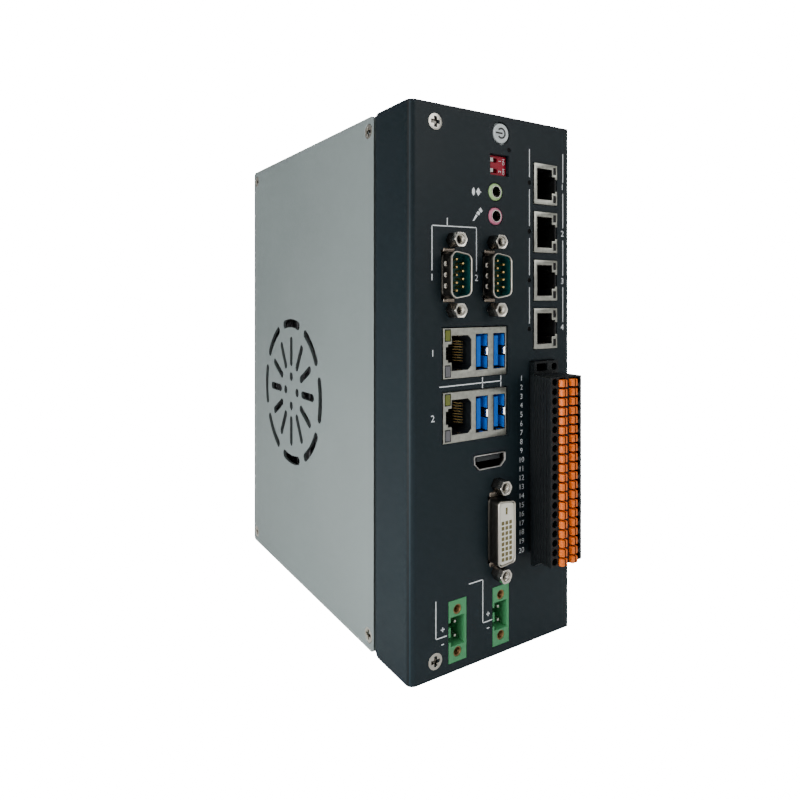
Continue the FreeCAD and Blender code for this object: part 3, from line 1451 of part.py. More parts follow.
# Terminal block: a header in the panel and a pluggable block of twenty rows. Each row has a
# wire entry and a release lever on either side.
def make_terminal_header():
    body = new_body("terminal_header")
    left, right = dim.header_left, dim.header_left + dim.header_width
    low, high = dim.term_low, PLUG_TOP + dim.header_top
    prism(body, "y", [rect(left, low, right, high)], -dim.header_reach, dim.board_front)
    prism(body, "y", [rect(left, low, dim.io_u, high)], dim.board_front, dim.board_front + 7)
    wall = 1.2
    trough = rect(left + wall, low + wall, right - wall, PLUG_TOP - wall)
    cut(body, "y", [trough], -dim.header_reach, dim.board_front + 4)
    pocket = rect(left + wall, PLUG_TOP + 0.8, left + 7, high - 0.8)
    hole = disc(right - 2.2, PLUG_TOP + dim.header_top / 2, 1.45)
    cut(body, "y", [pocket, hole], -dim.header_reach, 3)


def make_terminal_plug():
    body = new_body("terminal_plug")
    front, back, low = -dim.plug_front, -dim.term_back, dim.term_low
    left, right = dim.term_left, dim.term_left + dim.term_width
    lug = 2.5
    profile = [
        (front, low), (front + 5.5, low), (back - 1.4, low - lug), (back, low - lug),
        (back, PLUG_TOP), (front, PLUG_TOP),
    ]
    prism(body, "x", [profile], left, right)
    wall = 1.2 + dim.cut_gap
    nose = rect(
        dim.header_left + wall, low + wall,
        dim.header_left + dim.header_width - wall, PLUG_TOP - wall,
    )
    prism(body, "y", [nose], back, dim.board_front + 2)
    for side_left, side_right in ((left, left + 0.3), (right - 0.3, right)):
        groove = rect(side_left, front + 1.6, side_right, front + 2.2)
        feature = cut(body, "z", [groove], low, PLUG_TOP)
        row_of(body, feature, "V_Axis", 1.5, 5)
    row_z = low + dim.term_pitch / 2
    entries = [
        ring_of(u, row_z, dim.entry_dia / 2, 8, 22.5)
        for u in (left + dim.entry_inset, right - dim.entry_inset)
    ]
    feature = cut(body, "y", entries, front, front + dim.entry_depth)
    row_of(body, feature, "V_Axis", dim.term_pitch, dim.term_rows)
    seats = []
    for u in release_centres():
        half_wide = dim.release_width / 2 + 0.1
        half_high = dim.release_height / 2 + 0.1
        seats.append(rect(u - half_wide, row_z - half_high, u + half_wide, row_z + half_high))
    feature = cut(body, "y", seats, front, front + 1.5)
    row_of(body, feature, "V_Axis", dim.term_pitch, dim.term_rows)


def release_centres():
    right = dim.term_left + dim.term_width
    return [dim.term_left + dim.release_inset_left, right - dim.release_inset_right]


def make_release_levers():
    """Forty release levers: each with a bevelled left end and a groove across its face."""
    rise = -(dim.plug_front + dim.lever_rise)
    seat = -dim.plug_front + 1.5
    wide = dim.release_width
    levers = []
    for u in release_centres():
        left = u - wide / 2
        outline = [
            (left, seat), (left, -dim.plug_front - 0.1), (left + wide * 0.24, rise),
            (left + wide * 0.62, rise + 0.1), (left + wide * 0.68, rise + 0.75),
            (left + wide * 0.74, rise + 0.1), (left + wide, rise + 0.4), (left + wide, seat),
        ]
        for row in range(int(dim.term_rows.number)):
            low = dim.term_low + (row + 0.5) * dim.term_pitch - dim.release_height / 2
            points = [vec(a, b, low) for a, b in outline]
            face = Part.Face(Part.makePolygon(points + points[:1]))
            levers.append(face.extrude(FreeCAD.Vector(0, 0, dim.release_height.number)))
    shaped("release_levers", Part.makeCompound(levers))


# Rail clip: a plate on the rear wall with a fixed upper hook and two cheeks that guide a
# sprung lower latch.
def clip_screw_places():
    return [
        (dim.body_width / 2 + side * (dim.clip_width / 2 - 5), dim.rail_z + drop)
        for side in (-1, 1)
        for drop in (dim.rail_height / 2 - 7, -dim.rail_height / 2 - dim.clip_below + 5)
    ]


def make_rail_clip():
    body = new_body("rail_clip")
    deep = dim.body_depth
    left, right = (dim.body_width - dim.clip_width) / 2, (dim.body_width + dim.clip_width) / 2
    top_edge = dim.rail_z + dim.rail_height / 2 + dim.rail_gap / 2
    low = dim.rail_z - dim.rail_height / 2 - dim.clip_below
    plate_rear = deep + dim.clip_sheet
    slot_rear = plate_rear + dim.rail_slot
    hook_rear = plate_rear + HOOK_REACH
    top = top_edge + dim.clip_above
    side_view = [
        (deep, low), (plate_rear, low), (plate_rear, top_edge), (slot_rear, top_edge),
        (slot_rear, top_edge - dim.hook_lap), (hook_rear, top_edge - dim.hook_lap + 1),
        (hook_rear, top - 2), (hook_rear - 2, top), (deep, top),
    ]
    prism(body, "x", [side_view], left, right)
    middle = dim.body_width / 2
    latch_half = dim.latch_width / 2 + dim.slide_gap
    cheek_top = low + 12
    latch_rear = plate_rear + dim.slide_gap + dim.latch_sheet + dim.slide_gap
    for side in (-1, 1):
        inner = middle + latch_half * side
        outer = middle + (latch_half + 3) * side
        lap = middle + (latch_half - 2) * side
        a, b, c = (outer, inner, lap) if side < 0 else (inner, outer, lap)
        cheek = rect(a, plate_rear, b, hook_rear)
        prism(body, "z", [cheek], low, cheek_top)
        lip = (
            rect(inner, latch_rear, lap, hook_rear) if side < 0 else rect(lap, latch_rear, inner, hook_rear)
        )
        prism(body, "z", [lip], low, cheek_top)
    lug = rect(middle - 2.2, low + 4, middle + 2.2, low + 7)
    prism(body, "y", [lug], plate_rear, plate_rear + dim.slide_gap + dim.latch_sheet)
    cut(body, "y", [bolt_hole(u, z) for u, z in clip_screw_places()], deep, plate_rear)
    seats = [ring_of(u, z, dim.flat_head / 2, 8, 22.5) for u, z in clip_screw_places()]
    cut(body, "y", seats, plate_rear - 1.6, plate_rear)
    screw = screw_shape(dim.flat_head / 2 - 0.1, dim.screw_core / 2, dim.screw_length, 0, True)
    places = [(u, plate_rear - 0.1, z) for u, z in clip_screw_places()]
    shaped("rail_clip_screws", copies(screw, places, FACE_REAR))


def make_latch():
    body = new_body("rail_latch")
    middle = dim.body_width / 2
    plate_rear = dim.body_depth + dim.clip_sheet
    front = plate_rear + dim.slide_gap
    rear = front + dim.latch_sheet
    hook_rear = plate_rear + HOOK_REACH
    catch_top = dim.rail_z - dim.rail_height / 2 - dim.rail_gap / 2
    clip_low = dim.rail_z - dim.rail_height / 2 - dim.clip_below
    low = clip_low - 12
    half = dim.latch_width / 2
    prism(body, "y", [rect(middle - half, low, middle + half, catch_top)], front, rear)
    catch = [
        (rear, catch_top - 4), (hook_rear, catch_top - 4), (hook_rear, catch_top + dim.hook_lap - 1),
        (plate_rear + dim.rail_slot, catch_top + dim.hook_lap), (plate_rear + dim.rail_slot, catch_top),
        (rear, catch_top),
    ]
    prism(body, "x", [catch], middle - half, middle + half)
    window_low = clip_low + 4 - 0.5
    window_top = clip_low + 7 + dim.spring_length + dim.latch_travel
    cut(body, "y", [rect(middle - 2.6, window_low, middle + 2.6, window_top)], front, rear)
    cut(body, "y", [rect(middle - 4.5, low + 3, middle + 4.5, low + 6)], front, rear)


def make_latch_spring():
    """A stamped meander spring between the clip's lug and the latch's window."""
    middle = dim.body_width / 2
    low = dim.rail_z - dim.rail_height / 2 - dim.clip_below + 7
    folds = 5
    gauge = dim.spring_gauge
    half = dim.spring_width / 2
    step = (dim.spring_length + dim.latch_travel - gauge) / folds
    front = dim.body_depth + dim.clip_sheet + dim.slide_gap
    bars = []
    for k in range(folds + 1):
        level = low + step * k
        corners = [(middle - half, level), (middle + half, level + gauge)]
        bars.append(bar_between(corners, front))
        if k < folds:
            side = 1 if k % 2 else -1
            edge = middle + half * side
            inner = edge - gauge * side
            bars.append(bar_between([(edge, level), (inner, level + step)], front))
    shaped("latch_spring", bars[0].multiFuse(bars[1:]).removeSplitter())


def bar_between(corners, front):
    (u0, z0), (u1, z1) = ((as_size(a).number, as_size(b).number) for a, b in corners)
    deep = dim.latch_sheet.number * 0.7
    corner = FreeCAD.Vector(min(u0, u1), front.number, min(z0, z1))
    return Part.makeBox(abs(u1 - u0), deep, abs(z1 - z0), corner)


make_front_panel()
make_side_cover()
make_case_screws()
make_chassis()
make_boards()
make_pillars()
make_cooling()
make_board_modules()
make_button()
make_light_guides()
make_mode_switch()
make_audio_jack("line_out_jack", dim.line_z)
make_audio_jack("microphone_jack", dim.mic_z)
make_serial_ports()
make_jackscrews()
make_port_stacks()
make_network_jacks()
make_video_port()
make_monitor_port()
make_supply_headers()
make_terminal_header()
make_terminal_plug()
make_release_levers()
make_rail_clip()
make_latch()
make_latch_spring()
doc.recompute()

for thing in doc.Objects:
    for state in ("Invalid", "Error"):
        if state in thing.State:
            raise RuntimeError(f"{thing.Label} is {state}")
for label, thing in nodes.items():
    if thing.Shape.isNull() or not thing.Shape.isValid() or not thing.Shape.Solids:
        raise RuntimeError(f"{label} has no valid shape")

os.makedirs("parts", exist_ok=True)
for label, thing in nodes.items():
    thing.Shape.exportStep(f"parts/{label}.step")
print(len(nodes), "nodes written")
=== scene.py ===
import bmesh
import bpy
import math
import numpy as np
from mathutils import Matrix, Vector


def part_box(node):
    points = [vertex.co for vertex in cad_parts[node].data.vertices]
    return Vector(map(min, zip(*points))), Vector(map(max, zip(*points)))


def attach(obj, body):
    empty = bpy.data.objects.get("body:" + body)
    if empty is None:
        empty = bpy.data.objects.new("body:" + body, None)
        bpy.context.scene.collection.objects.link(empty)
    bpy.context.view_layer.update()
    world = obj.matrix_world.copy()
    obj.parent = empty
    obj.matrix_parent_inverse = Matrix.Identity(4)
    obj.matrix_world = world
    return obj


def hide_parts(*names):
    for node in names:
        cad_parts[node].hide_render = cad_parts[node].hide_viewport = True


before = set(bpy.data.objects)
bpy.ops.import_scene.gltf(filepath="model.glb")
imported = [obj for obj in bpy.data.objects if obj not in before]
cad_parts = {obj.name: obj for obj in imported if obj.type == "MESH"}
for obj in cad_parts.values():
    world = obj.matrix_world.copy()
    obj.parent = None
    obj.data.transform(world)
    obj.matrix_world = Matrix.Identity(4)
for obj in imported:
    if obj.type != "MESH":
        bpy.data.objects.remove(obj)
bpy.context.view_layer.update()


# Floor and backdrop: a white round sheet that lies under the unit and curves up into a wall far
# away on every side. It is matt paper, so evenly lit that it looks plain white.
def linked(name, data):
    """An object that shows a mesh, a lamp or a lens, put into the scene."""
    piece = bpy.data.objects.new(name, data)
    bpy.context.collection.objects.link(piece)
    return piece


def bowl_sheet(name, flat_radius, bend, rise, steps=96):
    """A turned sheet: its side view is a straight run, a quarter circle and a straight rise, and
    the other parameter turns it about the upright axis."""
    curve = np.linspace(0, math.pi / 2, 17)
    reach = np.concatenate([[0.001], flat_radius + bend * np.sin(curve), [flat_radius + bend]])
    height = np.concatenate([[0.0], bend * (1 - np.cos(curve)), [bend + rise]])
    turn = np.linspace(0, 2 * math.pi, steps, endpoint=False)
    places = np.stack([
        reach[:, None] * np.cos(turn), reach[:, None] * np.sin(turn),
        np.broadcast_to(height[:, None], (len(reach), steps)),
    ], -1)
    ring = np.arange(len(reach) - 1)[:, None] * steps
    step = np.arange(steps)
    ahead = (step + 1) % steps
    quads = np.stack([ring + step, ring + ahead, ring + steps + ahead, ring + steps + step], -1)
    sheet = bpy.data.meshes.new(name)
    sheet.from_pydata(places.reshape(-1, 3).tolist(), [], quads.reshape(-1, 4).tolist())
    sheet.polygons.foreach_set("use_smooth", np.ones(len(sheet.polygons), dtype=bool))
    return linked(name, sheet)


camera_glow = 18.0
paper = bpy.data.materials.new("pale_paper")
paper.use_nodes = True
paper_shader = paper.node_tree.nodes["Principled BSDF"]
paper_shader.inputs["Base Color"].default_value = (0.86, 0.86, 0.855, 1)
paper_shader.inputs["Roughness"].default_value = 0.9
paper_shader.inputs["Emission Color"].default_value = (1, 1, 1, 1)
seen = paper.node_tree.nodes.new("ShaderNodeLightPath")
glow = paper.node_tree.nodes.new("ShaderNodeMath")
glow.operation = "MULTIPLY"
glow.inputs[1].default_value = camera_glow
paper.node_tree.links.new(seen.outputs["Is Camera Ray"], glow.inputs[0])
paper.node_tree.links.new(glow.outputs["Value"], paper_shader.inputs["Emission Strength"])
floor = bowl_sheet("floor", 3.0, 1.5, 4.0)
floor.data.materials.append(paper)


# Light and camera: three large soft panels, a small one low at the left and a pale room. The
# camera stands level, off the left front corner, its picture plane shifted down.
def soft_panel(name, place, aim, size, power):
    """A square lamp at a place, turned about two axes to face its aim."""
    lamp = bpy.data.lights.new(name, "AREA")
    lamp.shape = "SQUARE"
    lamp.size = size
    lamp.energy = power
    panel = linked(name, lamp)
    panel.location = place
    away = np.array(aim) - np.array(place)
    panel.rotation_euler = (
        math.atan2(math.hypot(away[0], away[1]), -away[2]), 0, math.atan2(-away[0], away[1]),
    )


unit_middle = (0.0, 0.0, 0.1)
soft_panel("left_panel", (-1.1, -0.35, 0.75), unit_middle, 0.9, 8)
soft_panel("front_panel_light", (0.55, -1.2, 0.65), unit_middle, 0.8, 6)
soft_panel("top_panel", (0.0, 0.1, 1.3), unit_middle, 1.0, 5)
soft_panel("low_left_panel", (-0.25, -0.1, 0.08), (-0.0385, -0.07, 0.045), 0.14, 0.42)

room = bpy.data.worlds.new("room")
room.use_nodes = True
room.node_tree.nodes["Background"].inputs["Color"].default_value = (0.95, 0.97, 1.0, 1)
room.node_tree.nodes["Background"].inputs["Strength"].default_value = 0.38
bpy.context.scene.world = room

camera_turn = math.radians(32.28)
lens = bpy.data.cameras.new("camera")
lens.sensor_width = 36.0
lens.lens = 28.14
lens.shift_y = -0.1301
lens.clip_start = 0.01
camera = linked("camera", lens)
camera.location = (-0.15583, -0.25413, 0.1349)
camera.rotation_euler = (math.pi / 2, 0, -camera_turn)
bpy.context.scene.camera = camera


# Chassis: one folded steel sheet, zinc plated, that makes the right wall, top, base and rear.
# Its slotted top and base let air through.
def surface_finish(name, colour, roughness, metal=0.0, grain=0.0004, depth=0.00001, cloud=0.08,
                   edge=0.00025, cloud_size=0.03, coat=0.0, specular=0.5):
    """A finish made of two noises on Object coordinates: the fine one, of the size grain, presses
    the surface in by depth; the slow one lightens and darkens the colour by the share cloud and
    shifts the roughness. Edges shade as if rounded to the radius edge."""
    material = bpy.data.materials.new(name)
    material.use_nodes = True
    nodes, links = material.node_tree.nodes, material.node_tree.links
    shader = nodes["Principled BSDF"]
    shader.inputs["Metallic"].default_value = metal
    shader.inputs["Coat Weight"].default_value = coat
    shader.inputs["Coat Roughness"].default_value = 0.15
    shader.inputs["Specular IOR Level"].default_value = specular
    where = nodes.new("ShaderNodeTexCoord")
    slow = nodes.new("ShaderNodeTexNoise")
    slow.inputs["Scale"].default_value = 1 / cloud_size
    slow.inputs["Detail"].default_value = 3
    links.new(where.outputs["Object"], slow.inputs["Vector"])
    shade = nodes.new("ShaderNodeValToRGB")
    noise_low, noise_high, roughness_swing = 0.3, 0.7, 0.04
    stops = zip(shade.color_ramp.elements, (noise_low, noise_high), (1 - cloud, 1 + cloud))
    for stop, place, share in stops:
        stop.position = place
        stop.color = (*(min(part * share, 1) for part in colour), 1)
    links.new(slow.outputs["Fac"], shade.inputs["Fac"])
    links.new(shade.outputs["Color"], shader.inputs["Base Color"])
    sheen = nodes.new("ShaderNodeMapRange")
    sheen.inputs["From Min"].default_value = noise_low
    sheen.inputs["From Max"].default_value = noise_high
    sheen.inputs["To Min"].default_value = roughness - roughness_swing
    sheen.inputs["To Max"].default_value = roughness + roughness_swing
    links.new(slow.outputs["Fac"], sheen.inputs["Value"])
    links.new(sheen.outputs["Result"], shader.inputs["Roughness"])
    fine = nodes.new("ShaderNodeTexNoise")
    fine.inputs["Scale"].default_value = 1 / grain
    fine.inputs["Detail"].default_value = 2
    links.new(where.outputs["Object"], fine.inputs["Vector"])
    relief = nodes.new("ShaderNodeBump")
    relief.inputs["Distance"].default_value = depth
    relief.inputs["Strength"].default_value = 1.0
    links.new(fine.outputs["Fac"], relief.inputs["Height"])
    rounded = nodes.new("ShaderNodeBevel")
    rounded.samples = 4
    rounded.inputs["Radius"].default_value = edge
    links.new(rounded.outputs["Normal"], relief.inputs["Normal"])
    links.new(relief.outputs["Normal"], shader.inputs["Normal"])
    return material


def dress(node, material):
    """Gives a CAD node its finish."""
    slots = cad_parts[node].data.materials
    slots.clear()
    slots.append(material)


plated_steel = surface_finish("plated_steel", (0.42, 0.46, 0.44), 0.42, 0.85, 0.0006, 0.000004, 0.025)
dress("chassis", plated_steel)


# Side cover: a flat steel sheet with a rosette of vents, finished in a satin grey-green. Four
# countersunk screws hold it to the chassis's lips.
cover_satin_with_painted_shade = surface_finish(
    "cover_satin_with_painted_shade", (0.3, 0.355, 0.35), 0.47, 0.5, 0.0005, 0.000004, 0.04, 0.0003, 0.09,
)
dress("side_cover", cover_satin_with_painted_shade)
mm = 0.001


def box_of(node):
    """The low and the high corner of a CAD node's box."""
    return [np.array(corner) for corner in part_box(node)]


def toned_along(material, axis, start, end, stops):
    """Multiplies a finish's colour by greys or colours set at stops (place, share) along one axis
    of the Object coordinates, where place runs from 0 at start to 1 at end."""
    nodes, links = material.node_tree.nodes, material.node_tree.links
    base = nodes["Principled BSDF"].inputs["Base Color"]
    where = next(node for node in nodes if node.type == "TEX_COORD")
    place = nodes.new("ShaderNodeSeparateXYZ")
    links.new(where.outputs["Object"], place.inputs[0])
    run = nodes.new("ShaderNodeMapRange")
    run.inputs["From Min"].default_value, run.inputs["From Max"].default_value = start, end
    links.new(place.outputs[axis], run.inputs["Value"])
    tones = nodes.new("ShaderNodeValToRGB")
    ramp = tones.color_ramp.elements
    ramp.remove(ramp[-1])
    ramp[0].position = stops[0][0]
    ramp[0].color = (*np.broadcast_to(stops[0][1], 3), 1)
    for position, share in stops[1:]:
        ramp.new(position).color = (*np.broadcast_to(share, 3), 1)
    links.new(run.outputs["Result"], tones.inputs["Fac"])
    product = nodes.new("ShaderNodeMix")
    product.data_type = "RGBA"
    product.blend_type = "MULTIPLY"
    product.inputs[0].default_value = 1.0
    links.new(base.links[0].from_socket, product.inputs[6])
    links.new(tones.outputs["Color"], product.inputs[7])
    links.new(product.outputs[2], base)


# Painted shade: the satin colour holds only within a tenth of a millimetre of the outer face and falls to
# under a third by a fifth of a millimetre behind it, so the walls of the vents and everything behind the
# outer face are painted dark.
cover_face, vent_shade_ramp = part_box("side_cover")[0][0], 0.3 * mm
toned_along(cover_satin_with_painted_shade, "X", cover_face, cover_face + vent_shade_ramp, [(0.0, 1.0), (0.3, 1.0), (0.6, 0.28)])


def stood(outline, depth, facing):
    """Lifts flat points (across, up) into the frame, at a depth along the way that they face."""
    flat = np.asarray(outline, float)
    deep = np.broadcast_to(np.asarray(depth, float), flat.shape[:-1])
    if facing == "left":
        return np.stack([deep, flat[..., 0], flat[..., 1]], -1)
    return np.stack([flat[..., 0], deep, flat[..., 1]], -1)


def ring_walls(rings, close_first=True, close_last=True):
    """The mesh of closed rings of points laid after one another: a quad between each pair of
    neighbours, and a flat face over the first and last ring."""
    count, size = rings.shape[:2]
    k = np.arange(count - 1)[:, None] * size
    j = np.arange(size)[None, :]
    turn = (j + 1) % size
    quads = np.stack([k + j, k + turn, k + size + turn, k + size + j], -1).reshape(-1, 4).tolist()
    if close_first:
        quads.append(list(range(size))[::-1])
    if close_last:
        quads.append(list(range((count - 1) * size, count * size)))
    return rings.reshape(-1, 3), quads


def make_piece(name, parts, material, body="case", crease=32):
    """Joins meshes into one piece: all points, then all faces with their numbers moved on."""
    starts = np.cumsum([0] + [len(points) for points, faces in parts])
    points = np.concatenate([points for points, faces in parts])
    faces = [[n + int(start) for n in face] for start, (_, part) in zip(starts, parts) for face in part]
    mesh = bpy.data.meshes.new(name)
    mesh.from_pydata(points.tolist(), [], faces)
    outward = bmesh.new()
    outward.from_mesh(mesh)
    bmesh.ops.remove_doubles(outward, verts=outward.verts, dist=0.000001)
    bmesh.ops.recalc_face_normals(outward, faces=outward.faces)
    outward.to_mesh(mesh)
    outward.free()
    mesh.polygons.foreach_set("use_smooth", np.ones(len(mesh.polygons), dtype=bool))
    mesh.set_sharp_from_angle(angle=math.radians(crease))
    mesh.materials.append(material)
    piece = linked(name, mesh)
    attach(piece, body)
    return piece


def cross_screw(centre, face, radius, drop, arm, facing, crown=0.0):
    """A screw head as a height over a polar grid: flat or crowned, pressed in over a cross whose
    arms narrow with depth, then a wall that goes down at the rim."""
    share = np.concatenate([np.linspace(0, 1, 22), [1.0, 0.55]])
    turn = np.linspace(0, 2 * math.pi, 72, endpoint=False)
    reach, angle = np.meshgrid(share * radius, turn, indexing="ij")
    across, up = reach * np.cos(angle), reach * np.sin(angle)
    near_arm = np.minimum(np.abs(across), np.abs(up))
    along_arm = np.maximum(np.abs(across), np.abs(up))
    side_slope, arm_length, end_slope, floor_depth = arm * 0.16, radius * 0.66, radius * 0.12, radius * 0.5
    inside = np.clip((arm * 0.5 - near_arm) / side_slope, 0, 1)
    inside = inside * np.clip((arm_length - along_arm) / end_slope, 0, 1)
    depth = crown * (reach / radius) ** 2 + inside * floor_depth
    depth[-2:] = np.array([drop * 0.5 + crown, drop + crown])[:, None]
    depth[-3] = crown
    outline = np.stack([across + centre[0], up + centre[1]], -1)
    rings = stood(outline, face + depth, facing)
    return ring_walls(rings, close_first=False)


def bright_metal(name, colour, roughness, cloud, depth=0.000003):
    """A bare or plated metal with a very fine grain and crisp edges."""
    return surface_finish(name, colour, roughness, 1.0, 0.0003, depth, cloud, 0.0001)


def steel_with_painted_recess_shade(name, axis, face):
    """Bright plated steel with painted shade in its cross: it darkens from the face of a head to the floor
    of the cross.
    """
    steel = bright_metal(name, (0.62, 0.59, 0.52), 0.26, 0.12)
    floor = face + 1.6 * mm
    toned_along(steel, axis, face, floor, [(0.0, 1.0), (0.2, 1.0), (0.5, 0.35), (1.0, 0.1)])
    return steel


head_radius, sunk = 2.9 * mm, 0.1 * mm
screw_low, screw_high = box_of("side_cover_screws")
cover_screw_places = [
    (across, up)
    for across in (screw_low[1] + head_radius, screw_high[1] - head_radius)
    for up in (screw_low[2] + head_radius, screw_high[2] - head_radius)
]
cover_screws = make_piece(
    "cover_screws",
    [cross_screw(place, cover_face + sunk, head_radius, 1.4 * mm, 1.25 * mm, "left")
     for place in cover_screw_places],
    steel_with_painted_recess_shade("cover_screw_steel", "X", cover_face),
)
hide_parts("side_cover_screws")


# Boards, pillars and modules: glass laminate with a green mask, plated pillars under them, and
# black sockets and chips. They sit in the dark behind the vents.
def board_mask(name):
    """Green mask over copper: a brick pattern of lines shows the traces a little lighter."""
    material = surface_finish(name, (0.018, 0.10, 0.05), 0.35, 0.0, 0.0005, 0.000005, 0.15)
    nodes, links = material.node_tree.nodes, material.node_tree.links
    shade = next(node for node in nodes if node.type == "VALTORGB")
    where = next(node for node in nodes if node.type == "TEX_COORD")
    turned = nodes.new("ShaderNodeMapping")
    turned.inputs["Rotation"].default_value = (0, math.pi / 2, 0)
    links.new(where.outputs["Object"], turned.inputs["Vector"])
    traces = nodes.new("ShaderNodeTexBrick")
    traces.inputs["Scale"].default_value = 120
    traces.inputs["Mortar Size"].default_value = 0.03
    traces.inputs["Color2"].default_value = (0.012, 0.07, 0.035, 1)
    traces.inputs["Mortar"].default_value = (0.04, 0.20, 0.09, 1)
    links.new(turned.outputs["Vector"], traces.inputs["Vector"])
    links.new(shade.outputs["Color"], traces.inputs["Color1"])
    links.new(traces.outputs["Color"], nodes["Principled BSDF"].inputs["Base Color"])
    return material


green_mask = board_mask("green_mask")
for node in ("main_board", "network_board", "supply_board", "memory_module", "storage_module"):
    dress(node, green_mask)
moulded_black = surface_finish(
    "moulded_black", (0.004, 0.0045, 0.005), 0.42, 0.0, 0.0003, 0.000008, 0.12, specular=0.3,
)
for node in ("processor", "memory_socket", "storage_socket", "cell_holder", "board_link", "button_switch"):
    dress(node, moulded_black)
plated_screw = bright_metal("plated_screw", (0.54, 0.515, 0.46), 0.28, 0.12)
for node in ("board_pillars", "board_screws", "clock_cell"):
    dress(node, plated_screw)
anodised = surface_finish("anodised", (0.30, 0.31, 0.32), 0.5, 0.8, 0.0006, 0.000004, 0.06)
dress("heat_sink", anodised)


# Front panel: a sheet bent back along its left edge, with a fine dark powder coat. A thin painted highlight
# lies beside the fold, the rounded corner has painted shade, and the coat is painted darker towards the
# top. Pale lines, numbers and signs are printed on it.
def powder_coat(name, colour):
    """Powder coat: an orange-peel relief of about half a millimetre over a very fine grain."""
    return surface_finish(
        name, colour, 0.5, 0.0, 0.00055, 0.000018, 0.06, 0.0004, cloud_size=0.05, specular=0.25,
    )


panel_low, panel_high = box_of("front_panel")
panel_coat = powder_coat("panel_coat", (0.0185, 0.045, 0.06))
# Painted light and shade across the fold: the flange a touch lighter than the face, the rounded corner
# darker, then a thin bright band just beside the fold as a painted highlight.
toned_along(panel_coat, "X", panel_low[0], panel_low[0] + 3 * mm, [
    (0.0, 0.35), (0.01, 0.35), (0.04, 0.18), (0.14, 0.18), (0.18, 0.65), (0.24, 0.65), (0.3, 0.333)])
# Painted shade: the coat darkens steadily towards the top of the panel.
toned_along(panel_coat, "Z", panel_low[2], panel_high[2], [(0.0, 1.0), (0.5, 0.85), (1.0, 0.68)])
dress("front_panel", panel_coat)


def on_panel(flat):
    """Flat places in millimetres across and up from the panel's lower left corner, in metres."""
    return panel_low[[0, 2]] + np.asarray(flat) * mm


def laid(flat, depth):
    """Flat places in panel millimetres, laid at a depth in millimetres behind the panel's face."""
    return stood(on_panel(flat), panel_low[1] + np.asarray(depth) * mm, "front")


def strip(start, end, width):
    """A flat printed line: the rectangle round a segment, its ends pushed out by half a width."""
    start, end = np.array(start, float), np.array(end, float)
    along = (end - start) / np.linalg.norm(end - start)
    side = np.array([-along[1], along[0]]) * width / 2
    start, end = start - along * width / 2, end + along * width / 2
    return np.array([start - side, end - side, end + side, start + side])


ink_lift = 0.02


def printed(outlines, lift=ink_lift):
    """Flat outlines in panel millimetres, as faces a hair in front of the panel."""
    return [(laid(outline, -lift), [list(range(len(outline)))]) for outline in outlines]


def rays(turn):
    """Unit steps across and up at the angles of a turn."""
    return np.stack([np.cos(turn), np.sin(turn)], -1)


def arc_band(centre, radius, width, start, end, steps=20):
    """Quads of a printed arc between two angles in degrees."""
    ray = rays(np.radians(np.linspace(start, end, steps)))
    inner, outer = ray * (radius - width / 2) + centre, ray * (radius + width / 2) + centre
    return list(np.stack([inner[:-1], inner[1:], outer[1:], outer[:-1]], 1))


pale_ink = surface_finish("pale_ink", (0.92, 0.97, 1.0), 0.55, 0.0, 0.0003, 0.000002, 0.04)
line_width = 0.37
bracket = [
    ((9.3, 159.7), (29.3, 160.0)), ((9.3, 159.7), (9.3, 144.1)), ((29.3, 160.0), (29.3, 144.1)),
    ((15.97, 159.8), (15.97, 162.6)),
]
data_line = [
    ((12.7, 102.56), (41.1, 102.86)), ((32.16, 104.7), (32.16, 100.9)), ((41.1, 104.7), (41.1, 100.9)),
]
supply_lines = [
    ((10.98, 27.0), (10.98, 13.8)), ((10.98, 13.8), (15.6, 13.8)),
    ((26.0, 29.75), (32.3, 29.8)), ((32.3, 29.8), (32.3, 13.75)), ((32.3, 13.75), (36.6, 13.8)),
]
signs = []
for across in (13.95, 34.85):
    signs += [((across - 0.6, 16.46), (across + 0.6, 16.46)), ((across, 17.06), (across, 15.86)),
              ((across - 0.4, 11.2), (across + 0.4, 11.2))]
left_ticks = [((55.83, high), (55.83, low)) for high, low in (
    (192.1, 181.5), (176.4, 162.4), (157.3, 143.2), (138.1, 124.3))]
right_ticks = [((74.24, high), (74.24, low)) for high, low in (
    (192.3, 181.0), (176.2, 162.5), (157.2, 143.3), (138.2, 124.5))]
lines = bracket + data_line + supply_lines + signs + left_ticks + right_ticks
printed_lines = make_piece("printed_lines", printed([strip(a, b, line_width) for a, b in lines]), pale_ink)


def filled(curve):
    """The points and faces of a filled plane curve. The curve itself is not kept."""
    drawn = bpy.data.objects.new(curve.name, curve)
    flat = bpy.data.meshes.new_from_object(drawn)
    points = np.empty(len(flat.vertices) * 3)
    flat.vertices.foreach_get("co", points)
    faces = [list(face.vertices) for face in flat.polygons]
    bpy.data.objects.remove(drawn)
    bpy.data.meshes.remove(flat)
    bpy.data.curves.remove(curve)
    return points.reshape(-1, 3), faces


def number(text, size, u, z, upright=True):
    """A printed number: the letters' outline made a mesh, then placed on the panel, upright or
    turned a quarter turn to the left."""
    letters = bpy.data.curves.new("number_" + text, "FONT")
    letters.body = text
    letters.size = size * mm
    letters.align_x = "CENTER"
    letters.align_y = "CENTER"
    letters.fill_mode = "FRONT"
    points, faces = filled(letters)
    points = points[:, :2]
    if not upright:
        points = np.stack([-points[:, 1], points[:, 0]], -1)
    return stood(on_panel((u, z)) + points, panel_low[1] - ink_lift * mm, "front"), faces


